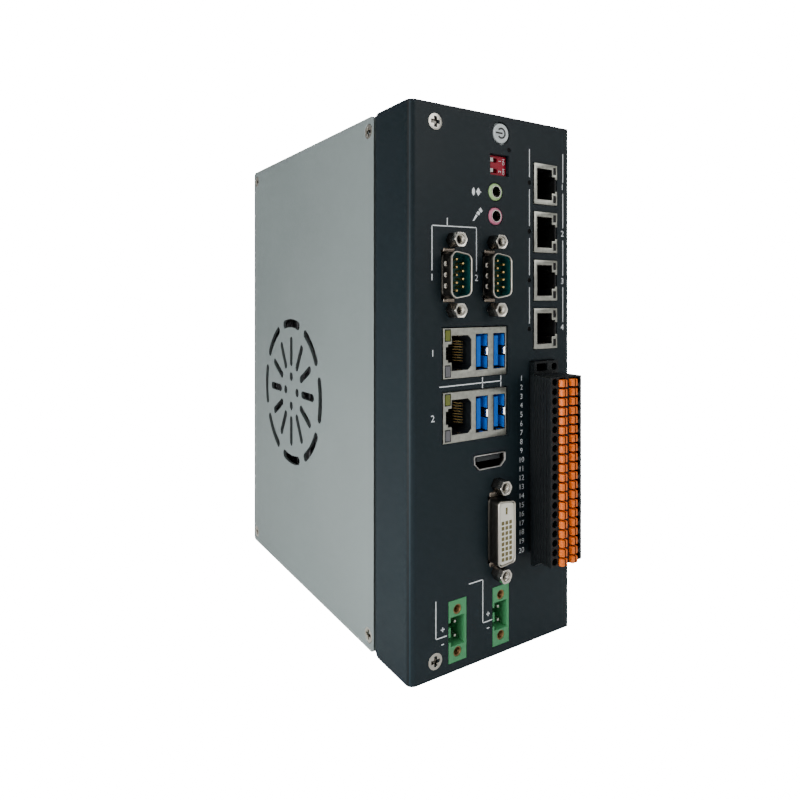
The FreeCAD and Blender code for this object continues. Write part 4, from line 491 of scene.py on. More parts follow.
number_places = [("1", 73.95, 178.9), ("2", 73.95, 160.0), ("3", 73.95, 140.8), ("4", 73.95, 122.1)]
number_places += [("1", 9.3, 141.4), ("2", 29.3, 141.4), ("1", 9.6, 114.6), ("2", 9.6, 91.6)]
jack_numbers = [number(text, 3.4, u, z) for text, u, z in number_places]
plug_low, plug_high = ((corner - panel_low) / mm for corner in box_of("terminal_plug"))
row_pitch, row_count = 3.5, 20
row_numbers = [
    number(str(k + 1), 2.9, 51.6, plug_high[2] - row_pitch * (k + 0.5)) for k in range(row_count)
]
printed_numbers = make_piece("printed_numbers", jack_numbers + row_numbers, pale_ink)

speaker = [
    [(27.2, 172.7), (27.8, 171.7), (28.2, 171.9), (28.6, 172.9), (28.6, 173.8), (28.0, 174.8),
     (27.2, 173.8)],
    [(29.2, 173.3), (30.2, 171.7), (30.9, 172.6), (31.0, 173.3), (30.9, 173.9), (30.2, 174.8)],
    [(30.9, 172.9), (31.7, 173.3), (30.9, 173.7)],
]
microphone = [
    [(27.6, 162.5), (28.1, 162.4), (29.9, 164.4), (29.0, 164.9)],
    [(29.2, 165.3), (30.5, 164.6), (31.1, 165.5), (30.0, 166.2)],
    [(30.3, 166.5), (31.6, 165.6), (32.2, 166.4), (31.2, 167.6)],
]
pictograms = make_piece("pictograms", printed(speaker + microphone), pale_ink)

panel_screw_low, panel_screw_high = box_of("panel_screws")
pan_radius = 2.9 * mm
panel_screw_places = [
    (panel_screw_low[0] + pan_radius, panel_screw_low[2] + pan_radius),
    (panel_screw_low[0] + pan_radius, panel_screw_high[2] - pan_radius),
]
panel_screw_heads = make_piece(
    "panel_screw_heads",
    [cross_screw(place, panel_screw_low[1], pan_radius, 0.9 * mm, 1.3 * mm, "front", 0.25 * mm)
     for place in panel_screw_places],
    steel_with_painted_recess_shade("panel_screw_steel", "Y", panel_screw_low[1]),
)
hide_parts("panel_screws")


# Power button: a moulded cap with a rounded rim and a shallow ring, on a collar and plunger.
# Its sign is an open circle with a bar, printed dark on the pale cap.
def turned(centre, profile, steps=64, close_first=True, close_last=True):
    """A turned shape facing the front: each (radius, depth) of the profile becomes a circle."""
    profile = np.array(profile, float) * mm
    outline = centre + profile[:, 0, None, None] * rays(np.linspace(0, 2 * math.pi, steps, endpoint=False))
    rings = stood(outline, panel_low[1] + profile[:, 1, None], "front")
    return ring_walls(rings, close_first, close_last)


button_low, button_high = box_of("power_button")
button_middle = ((button_low + button_high) / 2)[[0, 2]]
button_front = (button_low[1] - panel_low[1]) / mm
button_back = (button_high[1] - panel_low[1]) / mm
button_grey = surface_finish("button_grey", (0.60, 0.66, 0.66), 0.42, 0.0, 0.0003, 0.000006, 0.03)
cap = turned(button_middle, [
    (0.001, button_front + 0.16), (1.5, button_front + 0.14), (3.0, button_front + 0.04),
    (3.15, button_front), (3.4, button_front + 0.03), (3.58, button_front + 0.14),
    (3.65, button_front + 0.3), (3.65, 1.8), (4.7, 1.8), (4.7, 2.8), (1.5, 2.8), (1.5, button_back),
])
power_cap = make_piece("power_cap", [cap], button_grey, "power_button")
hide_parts("power_button")
sign_ink = surface_finish("sign_ink", (0.008, 0.010, 0.011), 0.5, 0.0, 0.0003, 0.000002, 0.05)
middle_mm = (button_middle - panel_low[[0, 2]]) / mm
sign = arc_band(middle_mm, 1.8, 0.66, -140, 140) + [strip(middle_mm - (2.5, 0), middle_mm + (0.3, 0), 0.62)]
power_sign = make_piece("power_sign", printed(sign, ink_lift - button_front), sign_ink, "power_button")


# Light guides: rods of smoky clear plastic that carry the light of the boards' lamps to small
# holes in the panel. With the lamps off they look black.
clear_rod = surface_finish(
    "clear_rod", (0.0015, 0.0015, 0.0016), 0.4, 0.0, 0.0005, 0.000002, 0.1, specular=0.08,
)
dress("light_guides", clear_rod)


# Mode switch: a red moulded body behind its window, with two white levers that slide across and
# small white signs on its face.
def moulding(name, colour, roughness=0.38, coat=0.05, specular=0.35):
    """Moulded plastic: a faint grain, and a slight cloud in the colour."""
    return surface_finish(
        name, colour, roughness, 0.0, 0.0004, 0.000006, 0.06, 0.00015, coat=coat, specular=specular,
    )


switch_red = moulding("switch_red", (0.33, 0.0013, 0.02), specular=0.2)
lever_white = moulding("lever_white", (0.72, 0.70, 0.66))
dress("mode_switch", switch_red)
for node in ("mode_lever_1", "mode_lever_2"):
    dress(node, lever_white)
switch_front = (box_of("mode_switch")[0][1] - panel_low[1]) / mm
switch_signs = []
switch_words = (
    ("1", 1.8, 42.1, 186.2), ("2", 1.8, 42.1, 182.2), ("ON", 1.5, 43.9, 186.0), ("ON", 1.5, 43.9, 182.3),
)
for text, size, across, up in switch_words:
    points, faces = number(text, size, across, up, upright=False)
    points[:, 1] = panel_low[1] + (switch_front - ink_lift) * mm
    switch_signs.append((points, faces))
switch_print = make_piece("switch_print", switch_signs, pale_ink)


# Audio jacks: each has a coloured moulded nose with a rounded lip, a turned metal sleeve inside
# it and a square body on the main board.
def rounded_ring(corners, radius, inset=0.0, steps=5):
    """Points round a convex outline in millimetres: every side moves in by the inset, and each
    corner becomes an arc about the point that lies one radius inside both its sides."""
    corners = np.asarray(corners, float)
    side = np.roll(corners, -1, 0) - corners
    after = np.stack([side[:, 1], -side[:, 0]], -1) / np.linalg.norm(side, axis=1)[:, None]
    before = np.roll(after, 1, 0)
    lean = (before + after) / (1 + (before * after).sum(1))[:, None]
    bend = max(radius - inset, 0.02)
    start = np.arctan2(before[:, 1], before[:, 0])
    sweep = (np.arctan2(after[:, 1], after[:, 0]) - start) % (2 * math.pi)
    ray = rays(start[:, None] + sweep[:, None] * np.linspace(0, 1, steps))
    return ((corners - lean * (inset + bend))[:, None] + bend * ray).reshape(-1, 2)


def box_corners(left, right, low, high):
    return [(left, low), (right, low), (right, high), (left, high)]


def box_about(u, z, half_width, half_height):
    return box_corners(u - half_width, u + half_width, z - half_height, z + half_height)


def carried(corners, radius, profile, steps=5, close_first=True, close_last=True):
    """An outline carried along a profile: each (inset, depth) of the profile becomes one ring."""
    rings = [laid(rounded_ring(corners, radius, inset, steps), depth) for inset, depth in profile]
    return ring_walls(np.stack(rings), close_first, close_last)


bright_sleeve = bright_metal("bright_sleeve", (0.62, 0.60, 0.56), 0.22, 0.08, 0.000002)
jack_middle = 38.4
board_left, board_front = 44.3, 4.6
jack_colours = {
    "line_out_jack": ("jack_lime", (0.36, 0.56, 0.24), 173.9),
    "microphone_jack": ("jack_pink", (0.66, 0.20, 0.31), 164.8),
}
sleeves, bores = [], []
for node, (slot_name, colour, height) in jack_colours.items():
    jack_axis = on_panel((jack_middle, height))
    nose = turned(jack_axis, [
        (3.2, board_front), (3.2, -0.05), (3.12, -0.18), (2.55, -0.82), (2.45, -0.88), (2.37, -0.84),
        (2.34, -0.7), (2.34, board_front),
    ], close_first=False, close_last=False)
    square = rounded_ring(box_corners(-4.35, board_left - jack_middle, -4.35, 4.35), 0.4)
    circle = square / np.linalg.norm(square, axis=1)[:, None] * 1.92
    rings = [
        (circle, 11.9), (circle, board_front), (square * 0.93, board_front),
        (square, board_front + 0.3), (square, 13.7), (square * 0.93, 14.0),
    ]
    block = ring_walls(np.stack([
        stood(jack_axis + outline * mm, panel_low[1] + depth * mm, "front") for outline, depth in rings
    ]))
    jack_nose = make_piece(node + "_nose", [nose, block], moulding(slot_name, colour))
    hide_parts(node)
    sleeves.append(turned(jack_axis, [
        (2.33, 4.5), (2.33, -0.72), (2.24, -0.8), (2.12, -0.8), (2.0, -0.7), (1.92, -0.45), (1.9, 0.0),
        (1.9, 0.8), (2.2, 0.85), (2.2, 4.5),
    ], close_first=False, close_last=False))
    bores.append(turned(
        jack_axis, [(1.9, 0.8), (1.9, 11.8), (0.001, 11.85)], close_first=False, close_last=False,
    ))
jack_sleeves = make_piece("jack_sleeves", sleeves, bright_sleeve)
jack_bores = make_piece("jack_bores", bores, moulded_black)


# Serial ports: a drawn tin-plated shell with a row of round dents in its long side, a dark teal
# insulator and nine gold pins. Hexagonal jackscrews hold it to the panel from the front.
def dented_shell(corners, radius, profile, dents, depth, size, steps=180):
    """A shell carried like any outline, but on an even ring of points, whose walls are pushed in
    by depth times a bell curve of the distance from each dent's centre."""
    rings = []
    for inset, drop in profile:
        ring = rounded_ring(corners, radius, inset, 9)
        ring = np.vstack([ring, ring[:1]])
        run = np.concatenate([[0], np.cumsum(np.linalg.norm(np.diff(ring, axis=0), axis=1))])
        even = np.linspace(0, run[-1], steps, endpoint=False)
        rings.append(np.stack([
            np.interp(even, run, ring[:, 0]), np.interp(even, run, ring[:, 1]), np.full(steps, drop)], -1))
    rings = np.stack(rings)
    ahead = np.roll(rings, -1, 1) - np.roll(rings, 1, 1)
    inward = np.stack([-ahead[..., 1], ahead[..., 0]], -1)
    inward = inward / np.linalg.norm(ahead[..., :2], axis=-1)[..., None]
    push = sum(
        np.exp(-(np.linalg.norm(rings - np.array(dent), axis=-1) / size) ** 6) for dent in dents
    )
    flat = rings[..., :2] + inward * (push * depth)[..., None]
    return ring_walls(laid(flat, rings[..., 2]), False, False)


tin_plate = surface_finish("tin_plate", (0.64, 0.61, 0.55), 0.38, 1.0, 0.0004, 0.000004, 0.14, 0.0001)
teal_insulator = moulding("teal_insulator", (0.0, 0.055, 0.055), 0.4)
shell_plate_with_painted_shade = surface_finish("shell_plate_with_painted_shade", (0.70, 0.66, 0.58), 0.3, 1.0, 0.0004, 0.000004, 0.1, 0.0001)
# Painted shade: the plated shell keeps its colour only at its front rim and turns nearly black from about a
# millimetre behind it, on the walls inside the opening and on the flange behind the panel.
toned_along(shell_plate_with_painted_shade, "Y", panel_low[1] - 6.0 * mm, panel_low[1], [
    (0.0, 1.0), (0.1, 0.75), (0.2, 0.17), (1.0, 0.1)])
contact_gold = bright_metal("contact_gold", (0.80, 0.56, 0.22), 0.25, 0.06, 0.000002)
serial_centres, serial_height = (18.1, 37.0), 142.3
serial_blocks = ((board_front + 6.5, board_front + 11.5), (board_front, board_front + 6))
pin_pitch, pin_tip = 2.77, -4.9
half, slim, reach = 8.8, 7.2, 4.6
pins, dimples, ledges = [], [], []
ledge_profile = [(0, 0.5), (0, -0.15), (0.15, -0.35), (0.4, -0.4)]
circle_of_32 = rays(np.linspace(0, 2 * math.pi, 32, endpoint=False))
for number_of_port, middle in enumerate(serial_centres, start=1):
    outline = [(middle - reach, serial_height - half), (middle + reach, serial_height - slim),
               (middle + reach, serial_height + slim), (middle - reach, serial_height + half)]
    walls = [(-0.22, 1.5), (-0.22, -0.1), (-0.18, -0.4), (-0.06, -0.6), (0.0, -0.8)]
    walls += [(0.0, -1.0 - 0.2 * k) for k in range(24)]
    walls += [(0.06, -5.88), (0.2, -6.0), (0.36, -5.98), (0.46, -5.86), (0.5, -5.6), (0.5, -0.4)]
    dents = [(middle - reach, serial_height + step, -2.4) for step in (-3.9, 0, 3.9)]
    for dent in dents:
        centre = panel_low[[1, 2]] + np.array([dent[2], dent[1]]) * mm
        bowl = [stood(centre + radius * mm * circle_of_32, panel_low[0] + (
            dent[0] - 0.06 + 0.75 * math.exp(-(radius / 0.8) ** 6)) * mm, "left")
            for radius in (0.92, 0.86, 0.8, 0.72, 0.6, 0.4, 0.001)]
        dimples.append(ring_walls(np.stack(bowl), False))
    ledges += [
        carried(box_corners(middle - 4.0, middle + 1.0, low, low + 1.4), 0.5, ledge_profile)
        for low in (serial_height + 8.3, serial_height - 9.7)
    ]
    shell = dented_shell(outline, 2.6, walls, dents, 0.95, 0.8)
    flange = carried(box_about(middle, serial_height, 5.8, 15), 1.0, [(0, 1.5), (0, 2.3)])
    port_shell = make_piece(f"port_shell_{number_of_port}", [shell, flange], shell_plate_with_painted_shade)
    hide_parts(f"serial_shell_{number_of_port}")
    block_front, block_back = serial_blocks[number_of_port - 1]
    block_low, block_high = serial_height - slim + 0.5, serial_height + slim - 0.5
    insulator = make_piece(f"port_insulator_{number_of_port}", [
        carried(outline, 2.6, [(0.52, -0.5), (0.52, 2.3)], 9),
        carried(outline, 2.6, [(0.52, -0.5), (0.52, -5.2), (0.6, -5.2), (0.6, -0.5)], 9, False, False),
        carried(box_corners(middle - reach, middle + reach, block_low, block_high), 0.3, [
            (0, 2.3), (0, block_back)]),
        carried(box_corners(middle + reach, board_left, block_low, block_high), 0.3, [
            (0, block_front), (0, block_back)]),
    ], teal_insulator)
    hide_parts(f"serial_insulator_{number_of_port}")
    for count, across in ((5, -1.42), (4, 1.42)):
        for k in range(count):
            height = serial_height + (k - (count - 1) / 2) * pin_pitch
            pins.append(turned(on_panel((middle + across, height)), [
                (0.5, 2.3), (0.5, pin_tip + 0.5), (0.46, pin_tip + 0.3), (0.36, pin_tip + 0.13),
                (0.2, pin_tip + 0.03), (0.001, pin_tip),
            ], 16))
serial_contacts = make_piece("serial_contacts", pins, contact_gold)
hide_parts("serial_pins")
shell_dimples = make_piece("shell_dimples", dimples, tin_plate)


def jackscrew(centre):
    """A hexagon whose corners are turned off by a cone at the front, then a conical mouth and a
    bore: radius is the smaller of the hexagon's and the cone's, over an angle and a depth."""
    turn = np.linspace(0, 2 * math.pi, 96, endpoint=False)
    half_flats = 2.5
    hexagon = half_flats / np.cos((turn % (math.pi / 3)) - math.pi / 6)
    depths = np.array([1.2, 0.0, -1.0, -3.0, -4.6, -4.9, -5.1, -5.3, -5.42, -5.5])
    cone = 2.66 + (depths + 5.5) * 1.15
    outer = np.minimum(hexagon, cone[:, None])
    outer[0] = 1.5
    outer[1] = np.minimum(hexagon, 3)
    inner_radius = np.array([2.05, 1.9, 1.75, 1.5] + [1.5, 1.3] * 6 + [1.3])
    inner_depth = np.array([-5.5, -5.42, -4.9, -4.7] + [-4.6 + 0.28 * k for k in range(12)] + [-1.0])
    radius = np.vstack([outer, np.repeat(inner_radius[:, None], len(turn), 1)])
    depth = np.concatenate([depths, inner_depth])
    return ring_walls(laid(np.array(centre) + radius[..., None] * rays(turn), depth[:, None]))


monitor_middle = (39.1, 47.6)
jackscrew_places = [(u, serial_height + side * 12.5) for u in serial_centres for side in (-1, 1)]
jackscrew_places += [(monitor_middle[0], monitor_middle[1] + side * 16.3) for side in (-1, 1)]
post_steel_with_painted_shade = bright_metal("post_steel_with_painted_shade", (0.70, 0.67, 0.60), 0.26, 0.16)
# Painted shade: the posts keep their bright steel for about two millimetres behind their front ends, then
# darken towards the panel, on the hexagon's sides and in the bore.
toned_along(post_steel_with_painted_shade, "Y", panel_low[1] - 5.5 * mm, panel_low[1], [
    (0.0, 1.0), (0.3, 0.9), (0.42, 0.35), (1.0, 0.15)])
hex_posts = make_piece("hex_posts", [jackscrew(place) for place in jackscrew_places], post_steel_with_painted_shade)
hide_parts("jackscrews")
ledges += [
    carried(box_corners(monitor_middle[0] - 3.6, monitor_middle[0] + 0.4, *span), 0.5, ledge_profile)
    for span in (
        (monitor_middle[1] + 12.0, monitor_middle[1] + 13.9),
        (monitor_middle[1] - 13.9, monitor_middle[1] - 12.2),
    )
]
ledge_tin = surface_finish("ledge_tin", (0.27, 0.23, 0.19), 0.25, 1.0, 0.0004, 0.000004, 0.2, 0.0002)
port_ledges = make_piece("port_ledges", ledges, ledge_tin)


# Port stacks: a folded tin-plated shield round one network opening and two data openings, dark
# mouldings behind it, blue tongues and walls in the data openings, two lenses at the left corners.
def stamped(outlines, front, back, edge=0.07):
    """A sheet as a filled plane curve with its holes, thickened between two depths; its edges are
    rounded to the radius edge, and the outline is first moved in by that radius."""
    drawn = bpy.data.curves.new("stamped", "CURVE")
    drawn.dimensions = "2D"
    drawn.fill_mode = "BOTH"
    drawn.extrude = (back - front) / 2 - edge
    drawn.bevel_depth = edge
    drawn.bevel_resolution = 1
    drawn.offset = -edge
    for outline in outlines:
        run = drawn.splines.new("POLY")
        run.points.add(len(outline) - 1)
        run.points.foreach_set("co", [part for u, z in outline for part in (u, z, 0.0, 1.0)])
        run.use_cyclic_u = True
    points, faces = filled(drawn)
    depth = (front + back) / 2 - points[:, 2]
    return panel_low + np.stack([points[:, 0], depth, points[:, 1]], -1) * mm, faces


def open_box(left, right, low, high, front, back, wall=0.4):
    """Four walls of a box, open in front and behind, as an outline carried out and back in."""
    return carried(box_corners(left, right, low, high), 0.3, [
        (0, front), (0, back), (wall, back), (wall, front), (0, front)], 4, False, False)


def tab(u, z, reach, wide, side):
    """A sprung finger: a narrow strip that starts in the sheet and curls back into an opening."""
    sweep = np.linspace(0, 1, 7)
    depth = -0.35 + 2.6 * sweep
    bulge = side * (reach * np.sin(np.pi * np.clip(sweep * 0.9 + 0.1, 0, 1)) - 0.3)
    rings = []
    for d, b in zip(depth, bulge):
        left, right, near, far = u - wide / 2, u + wide / 2, z + b, z + b - side * 0.2
        rings.append(laid([(left, near), (right, near), (right, far), (left, far)], d))
    return ring_walls(np.stack(rings))


def side_tab(u, z, reach, wide, side):
    """The same finger turned to reach across an opening from its left or right wall."""
    points, faces = tab(z, u, reach, wide, side)
    flat = (points - panel_low)[:, [2, 1, 0]]
    return panel_low + flat, faces


stack_left, stack_right, stack_rear = 13.9, 43.35, 26.0
data_lefts, data_wide, data_half = (stack_left + 14.7, stack_left + 23.1), 5.9, 6.65
plug_half = 6.3
slate_moulding = moulding("slate_moulding", (0.010, 0.013, 0.016), 0.45, 0.0)
data_blue = moulding("data_blue", (0.0, 0.14, 0.66), 0.35, 0.0, 0.15)
shield_tin = surface_finish(
    "shield_tin", (0.42, 0.425, 0.37), 0.33, 0.9, 0.0004, 0.000008, 0.13, 0.00012, cloud_size=0.0012,
)
walls_of_blue, tabs_of_stack = [], []
for number_of_stack, low in enumerate((105.2, 82.2), start=1):
    high, middle = low + 18.3, low + 9.15
    plug_right = stack_left + 12.7
    plug_left, notch_left = plug_right - 9.0, stack_left + 1.1
    network = [
        (plug_left, middle - plug_half), (plug_right - 1.5, middle - plug_half), (plug_right, middle - 4.8),
        (plug_right, middle + 4.8), (plug_right - 1.5, middle + plug_half), (plug_left, middle + plug_half),
        (plug_left, middle + 3.3), (notch_left + 1, middle + 3.3), (notch_left + 1, middle + 2.3),
        (notch_left, middle + 2.3), (notch_left, middle - 2.3), (notch_left + 1, middle - 2.3),
        (notch_left + 1, middle - 3.3), (plug_left, middle - 3.3),
    ]
    windows = [
        box_corners(notch_left - 0.45, notch_left + 2.3, z - 0.35, z + 4.1) for z in (low + 0.9, high - 4.6)
    ]
    data = [box_corners(u, u + data_wide, middle - data_half, middle + data_half) for u in data_lefts]
    rim = box_corners(stack_left, stack_right, low + 0.1, high - 0.2)
    face = stamped([rim, network] + windows + data, -0.5, -0.1)
    sides = open_box(stack_left + 0.3, board_left, low + 0.3, high - 0.3, 1.4, stack_rear)
    stack_shield = make_piece(f"stack_cover_{number_of_stack}", [face, sides], shield_tin)
    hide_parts(f"stack_shield_{number_of_stack}")
    tabs_of_stack += [tab(plug_left + 4.2, middle + side * plug_half, 0.7, 2.6, -side) for side in (-1, 1)]
    for u in data_lefts:
        tabs_of_stack += [tab(u + 2.9, middle + side * data_half, 0.6, 1.8, -side) for side in (-1, 1)]
        tabs_of_stack.append(side_tab(u + data_wide, middle, 0.75, 2.6, -1))
        walls_of_blue += [
            carried(box_corners(u + 5.4, u + 5.85, low_end, low_end + 4.3), 0.1, [(0, 0.1), (0, 11.9)])
            for low_end in (middle - 6.2, middle + 1.9)
        ]
        walls_of_blue.append(carried(
            box_corners(u + 3.4, u + 5.85, middle - 6.2, middle + 6.2), 0.1, [(0, 8.5), (0, 11.9)],
        ))
finger_steel = bright_metal("finger_steel", (0.66, 0.63, 0.56), 0.24, 0.16)
stack_fingers = make_piece("stack_fingers", tabs_of_stack, finger_steel)
data_walls = make_piece("data_walls", walls_of_blue, data_blue)
for node in ("stack_insert_1", "stack_insert_2"):
    dress(node, slate_moulding)
dress("data_tongues", data_blue)
# Two pairs of lenses from the base up: grey under lime in each stack.
grey_lens, lime_lens = (0.13, 0.13, 0.14), (0.135, 0.155, 0.022)
lens_tint = surface_finish(
    "lens_tint", (1, 1, 1), 0.25, 0.0, 0.0004, 0.000006, 0.0, 0.00015, coat=0.3, specular=0.35,
)
toned_along(lens_tint, "Z", 80 * mm, 126 * mm, [
    (0.0, grey_lens), (0.24, grey_lens), (0.26, lime_lens), (0.49, lime_lens), (0.51, grey_lens),
    (0.74, grey_lens), (0.76, lime_lens)])
dress("stack_lenses", lens_tint)
sprung_gold_with_painted_shade = surface_finish("sprung_gold_with_painted_shade", (0.95, 0.70, 0.30), 0.5, 0.35, 0.0003, 0.000002, 0.06, 0.0001)
# Painted shade inside the jack: the contacts are dim five millimetres behind the panel's face, full gold a
# millimetre further in, and nearly black from about nine millimetres back.
toned_along(sprung_gold_with_painted_shade, "Y", panel_low[1] + 5.0 * mm, panel_low[1] + 11.0 * mm, [
    (0.0, 0.3), (0.15, 1.0), (0.45, 0.9), (0.62, 0.06)])
dress("network_contacts", sprung_gold_with_painted_shade)


# Network jacks: each has its own tin-plated shield with sprung tabs, a black moulding and eight
# sprung contacts.
jack_left, jack_right = 58.0, 70.55
top_jack, jack_pitch = 179.15, 19.05
tabs_of_jacks = []
for k in range(1, 5):
    z = top_jack - jack_pitch * (k - 1)
    low, high = z - 8, z + 8
    left, right, notch = jack_left + 1.55, jack_left + 9.75, jack_left + 11.6
    drops = [
        (jack_left, 8), (jack_right, 8), (jack_right, 2.4), (notch, 2.4), (notch, 3.3), (right, 3.3),
        (right, 6.1), (left, 6.1),
    ]
    outline = [(u, z - drop) for u, drop in drops] + [(u, z + drop) for u, drop in drops[::-1]]
    windows = [
        box_corners(jack_left + 10.35, jack_left + 12.0, edge, edge + 2.9) for edge in (z - 7.15, z + 4.25)
    ]
    face = stamped([outline] + windows, -0.5, -0.1)
    sides = open_box(jack_left, jack_left + 12.75, low, high, 1.4, 21.0)
    jack_cover = make_piece(f"jack_cover_{k}", [face, sides], shield_tin)
    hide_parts(f"jack_shield_{k}")
    tabs_of_jacks += [
        tab(left + 4.1 + step, z + side * 6.1, 0.6, 1.4, -side) for side in (-1, 1) for step in (-1.2, 1.2)]
jack_fingers = make_piece("jack_fingers", tabs_of_jacks, finger_steel)
dress("jack_inserts", moulded_black)


# Video port: a folded shell with slanted lower corners, painted dark inside as shade, round a
# thin slate-coloured tongue.
video_left, video_right, video_low, video_high = 28.05, 43.15, 70.6, 76.1
slant = (video_high - video_low) * 0.42
video_outline = [
    (video_left + slant, video_low), (video_right - slant, video_low), (video_right, video_low + slant),
    (video_right, video_high), (video_left, video_high), (video_left, video_low + slant),
]
video_sleeve_with_painted_shade = bright_metal("video_sleeve_with_painted_shade", (0.62, 0.61, 0.58), 0.3, 0.08, 0.000002)
# Painted shade: the sleeve keeps its colour in front of the panel and darkens to nearly black within a
# millimetre behind the panel's face.
toned_along(video_sleeve_with_painted_shade, "Y", panel_low[1], panel_low[1] + 3 * mm, [(0.0, 1.0), (0.1, 0.5), (0.3, 0.06)])
video_shell = make_piece(
    "video_shell",
    [carried(video_outline, 0.7, [
        (0, 11), (0, -0.3), (0.06, -0.44), (0.18, -0.5), (0.32, -0.46), (0.4, -0.32), (0.4, 10.6)]),
     carried(box_corners(video_right, board_left, video_low + 2.5, video_high), 0.2, [
         (0, board_front), (0, 11)])],
    video_sleeve_with_painted_shade,
)
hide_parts("video_port_shell")
dress("video_port_tongue", moulding("tongue_slate", (0.022, 0.027, 0.03), 0.3))


# Monitor port: a drawn shell round an ivory moulding with three columns of sockets and a blade
# slot. Two jackscrews flank it.
ivory_moulding = moulding("ivory_moulding", (0.84, 0.82, 0.70), 0.4)
contact_olive = moulding("contact_olive", (0.17, 0.145, 0.055), 0.5)
u, z = monitor_middle
socket_pitch = 1.905
socket_places = [(u + across, z + 3.7 - socket_pitch * k) for across in (-1.85, 0, 1.85) for k in range(8)]
blade_slot = box_corners(u - 0.6, u + 0.6, z + 6.7, z + 9.3)
sockets = [box_about(*place, 0.76, 0.72) for place in socket_places] + [blade_slot]
ivory_outline = [(u - 3.4, z - 11.6), (u + 3.4, z - 10.85), (u + 3.4, z + 10.65), (u - 3.4, z + 11.3)]
face_front, face_back = -5.7, -4.6
ivory_face = stamped([rounded_ring(ivory_outline, 1.2)] + sockets, face_front, face_back, 0.04)
ivory_block = carried(ivory_outline, 1.2, [(0, face_back), (0, 2.3)])
monitor_face = make_piece("monitor_face", [ivory_face, ivory_block], ivory_moulding)
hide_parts("monitor_port_insert")
socket_floors = [
    carried(box_about(*place, 0.75, 0.71), 0.05, [(0, -5.5), (0, -4.61)]) for place in socket_places
]
socket_floors.append(carried(blade_slot, 0.05, [(0, -5.35), (0, -4.61)]))
monitor_contacts = make_piece("monitor_contacts", socket_floors, contact_olive)
monitor_outline = [
    (u - 4.15, z - 12.4), (u + 4.15, z - 11.5), (u + 4.15, z + 11.3), (u - 4.15, z + 12.1),
]
monitor_shell = make_piece(
    "monitor_shell",
    [carried(monitor_outline, 1.6, [
        (-0.2, 1.5), (-0.2, -0.2), (-0.14, -0.45), (-0.04, -0.6), (0, -0.9), (0, -5.6), (0.05, -5.85),
        (0.16, -5.98), (0.32, -5.98), (0.44, -5.85), (0.5, -5.6), (0.5, 1.5)], 7, False, False),
     carried(box_about(u, z, 4.65, 18.8), 0.8, [(0, 1.5), (0, 2.3)])],
    shell_plate_with_painted_shade,
)
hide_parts("monitor_port_shell")


# Supply headers: green mouldings with an open cavity, two flat pins and, at each end, a threaded
# insert the colour of copper.
supply_green = moulding("supply_green", (0.065, 0.30, 0.12), 0.4, 0.1)
insert_copper = surface_finish(
    "insert_copper", (0.31, 0.185, 0.085), 0.35, 0.9, 0.0003, 0.000006, 0.2, 0.0001,
)
for node in ("supply_header_1", "supply_header_2"):
    dress(node, supply_green)
dress("supply_pins", tin_plate)
header_middle, insert_spacing = 14.4, 15.24
insert_axes = [
    (across, header_middle + side * insert_spacing / 2) for across in (20.6, 41.1) for side in (-1, 1)
]
inserts = [
    turned(on_panel(axis), [
        (1.88, 7.6), (1.88, 0.35), (1.8, 0.25), (1.45, 0.25), (1.25, 0.5)]
        + [(1.1 if k % 2 else 1.25, 0.7 + 0.25 * k) for k in range(20)] + [(1.2, 6.5)])
    for axis in insert_axes
]
threaded_inserts = make_piece("threaded_inserts", inserts, insert_copper)
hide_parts("supply_inserts")


# Terminal block: a black header in the panel and a black plug of twenty rows. Every row has two
# wire entries and two orange release levers.
plug_black = moulding("plug_black", (0.0032, 0.0052, 0.0062), 0.42, 0.0, 0.3)
release_orange = moulding("release_orange", (0.92, 0.165, 0.0), 0.33)
dress("terminal_header", plug_black)
dress("terminal_plug", plug_black)


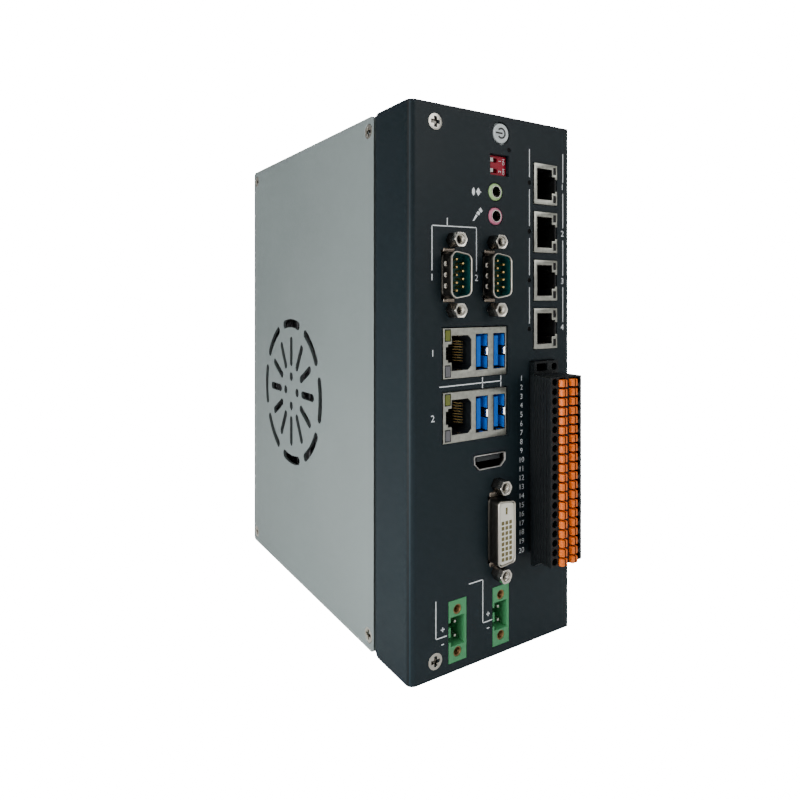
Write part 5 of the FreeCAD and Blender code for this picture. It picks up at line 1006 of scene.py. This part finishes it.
def release_lever(left, low, wide, tall, edge=0.25):
    """A lever as a side view carried upwards: a slanted left end, a crowned face with a groove
    across it, and top and bottom edges rounded by a quarter circle."""
    share = np.array([0, 0.06, 0.14, 0.26, 0.4, 0.5, 0.54, 0.545, 0.665, 0.67, 0.72, 0.8, 0.95, 1.0])
    crown = np.array([0.1, 0.5, 0.85, 1.0, 1.0, 0.97, 0.92, 0.0, 0.0, 0.94, 1.0, 1.0, 0.97, 0.85])
    face_rise, root_depth = 1.5, 1.5
    turn = np.radians(np.linspace(90, 0, 5))
    inset, up = edge * (1 - np.cos(turn)), edge * (1 - np.sin(turn))
    rings = []
    for back, height in zip(np.append(inset, inset[::-1]), np.append(up, tall - up[::-1])):
        across = np.append(left + share * wide, (left + wide, left))
        root = plug_low[1] + root_depth
        front = np.append(plug_low[1] - face_rise * crown + back, (root, root))
        rings.append(np.stack([across, front, np.full(len(across), low + height)], -1))
    return ring_walls(panel_low + np.stack(rings) * mm)


levers_low, levers_high = ((corner - panel_low) / mm for corner in box_of("release_levers"))
lever_lefts = (levers_low[0] + 0.1, levers_high[0] - 3.25)
lever_wide, lever_tall, lever_drop = 2.95, 2.6, 0.5
levers = [
    release_lever(left, levers_low[2] + row_pitch * k - lever_drop, lever_wide, lever_tall)
    for left in lever_lefts for k in range(row_count)
]
# Painted shade: a nearly black band runs across each lever over its groove, from about half to seven tenths
# of its width.
groove_shade_bands = [(0.0, 1.0)]
lever_span = levers_high[0] - levers_low[0]
for left in lever_lefts:
    for share, tone in ((0.51, 1.0), (0.52, 0.03), (0.69, 0.03), (0.70, 1.0)):
        groove_shade_bands.append(((left - levers_low[0] + share * lever_wide) / lever_span, tone))
lever_start = panel_low[0] + levers_low[0] * mm
toned_along(release_orange, "X", lever_start, lever_start + lever_span * mm, groove_shade_bands)
lever_caps = make_piece("lever_caps", levers, release_orange)
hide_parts("release_levers")


# Rail clip: a zinc-plated steel plate on the rear wall with a fixed upper hook, and a sprung
# latch that slides between two cheeks below it.
clip_zinc = surface_finish("clip_zinc", (0.50, 0.50, 0.48), 0.34, 1.0, 0.0008, 0.000005, 0.14, 0.0003)
for node in ("rail_clip", "rail_latch", "rail_clip_screws", "latch_spring"):
    dress(node, clip_zinc)
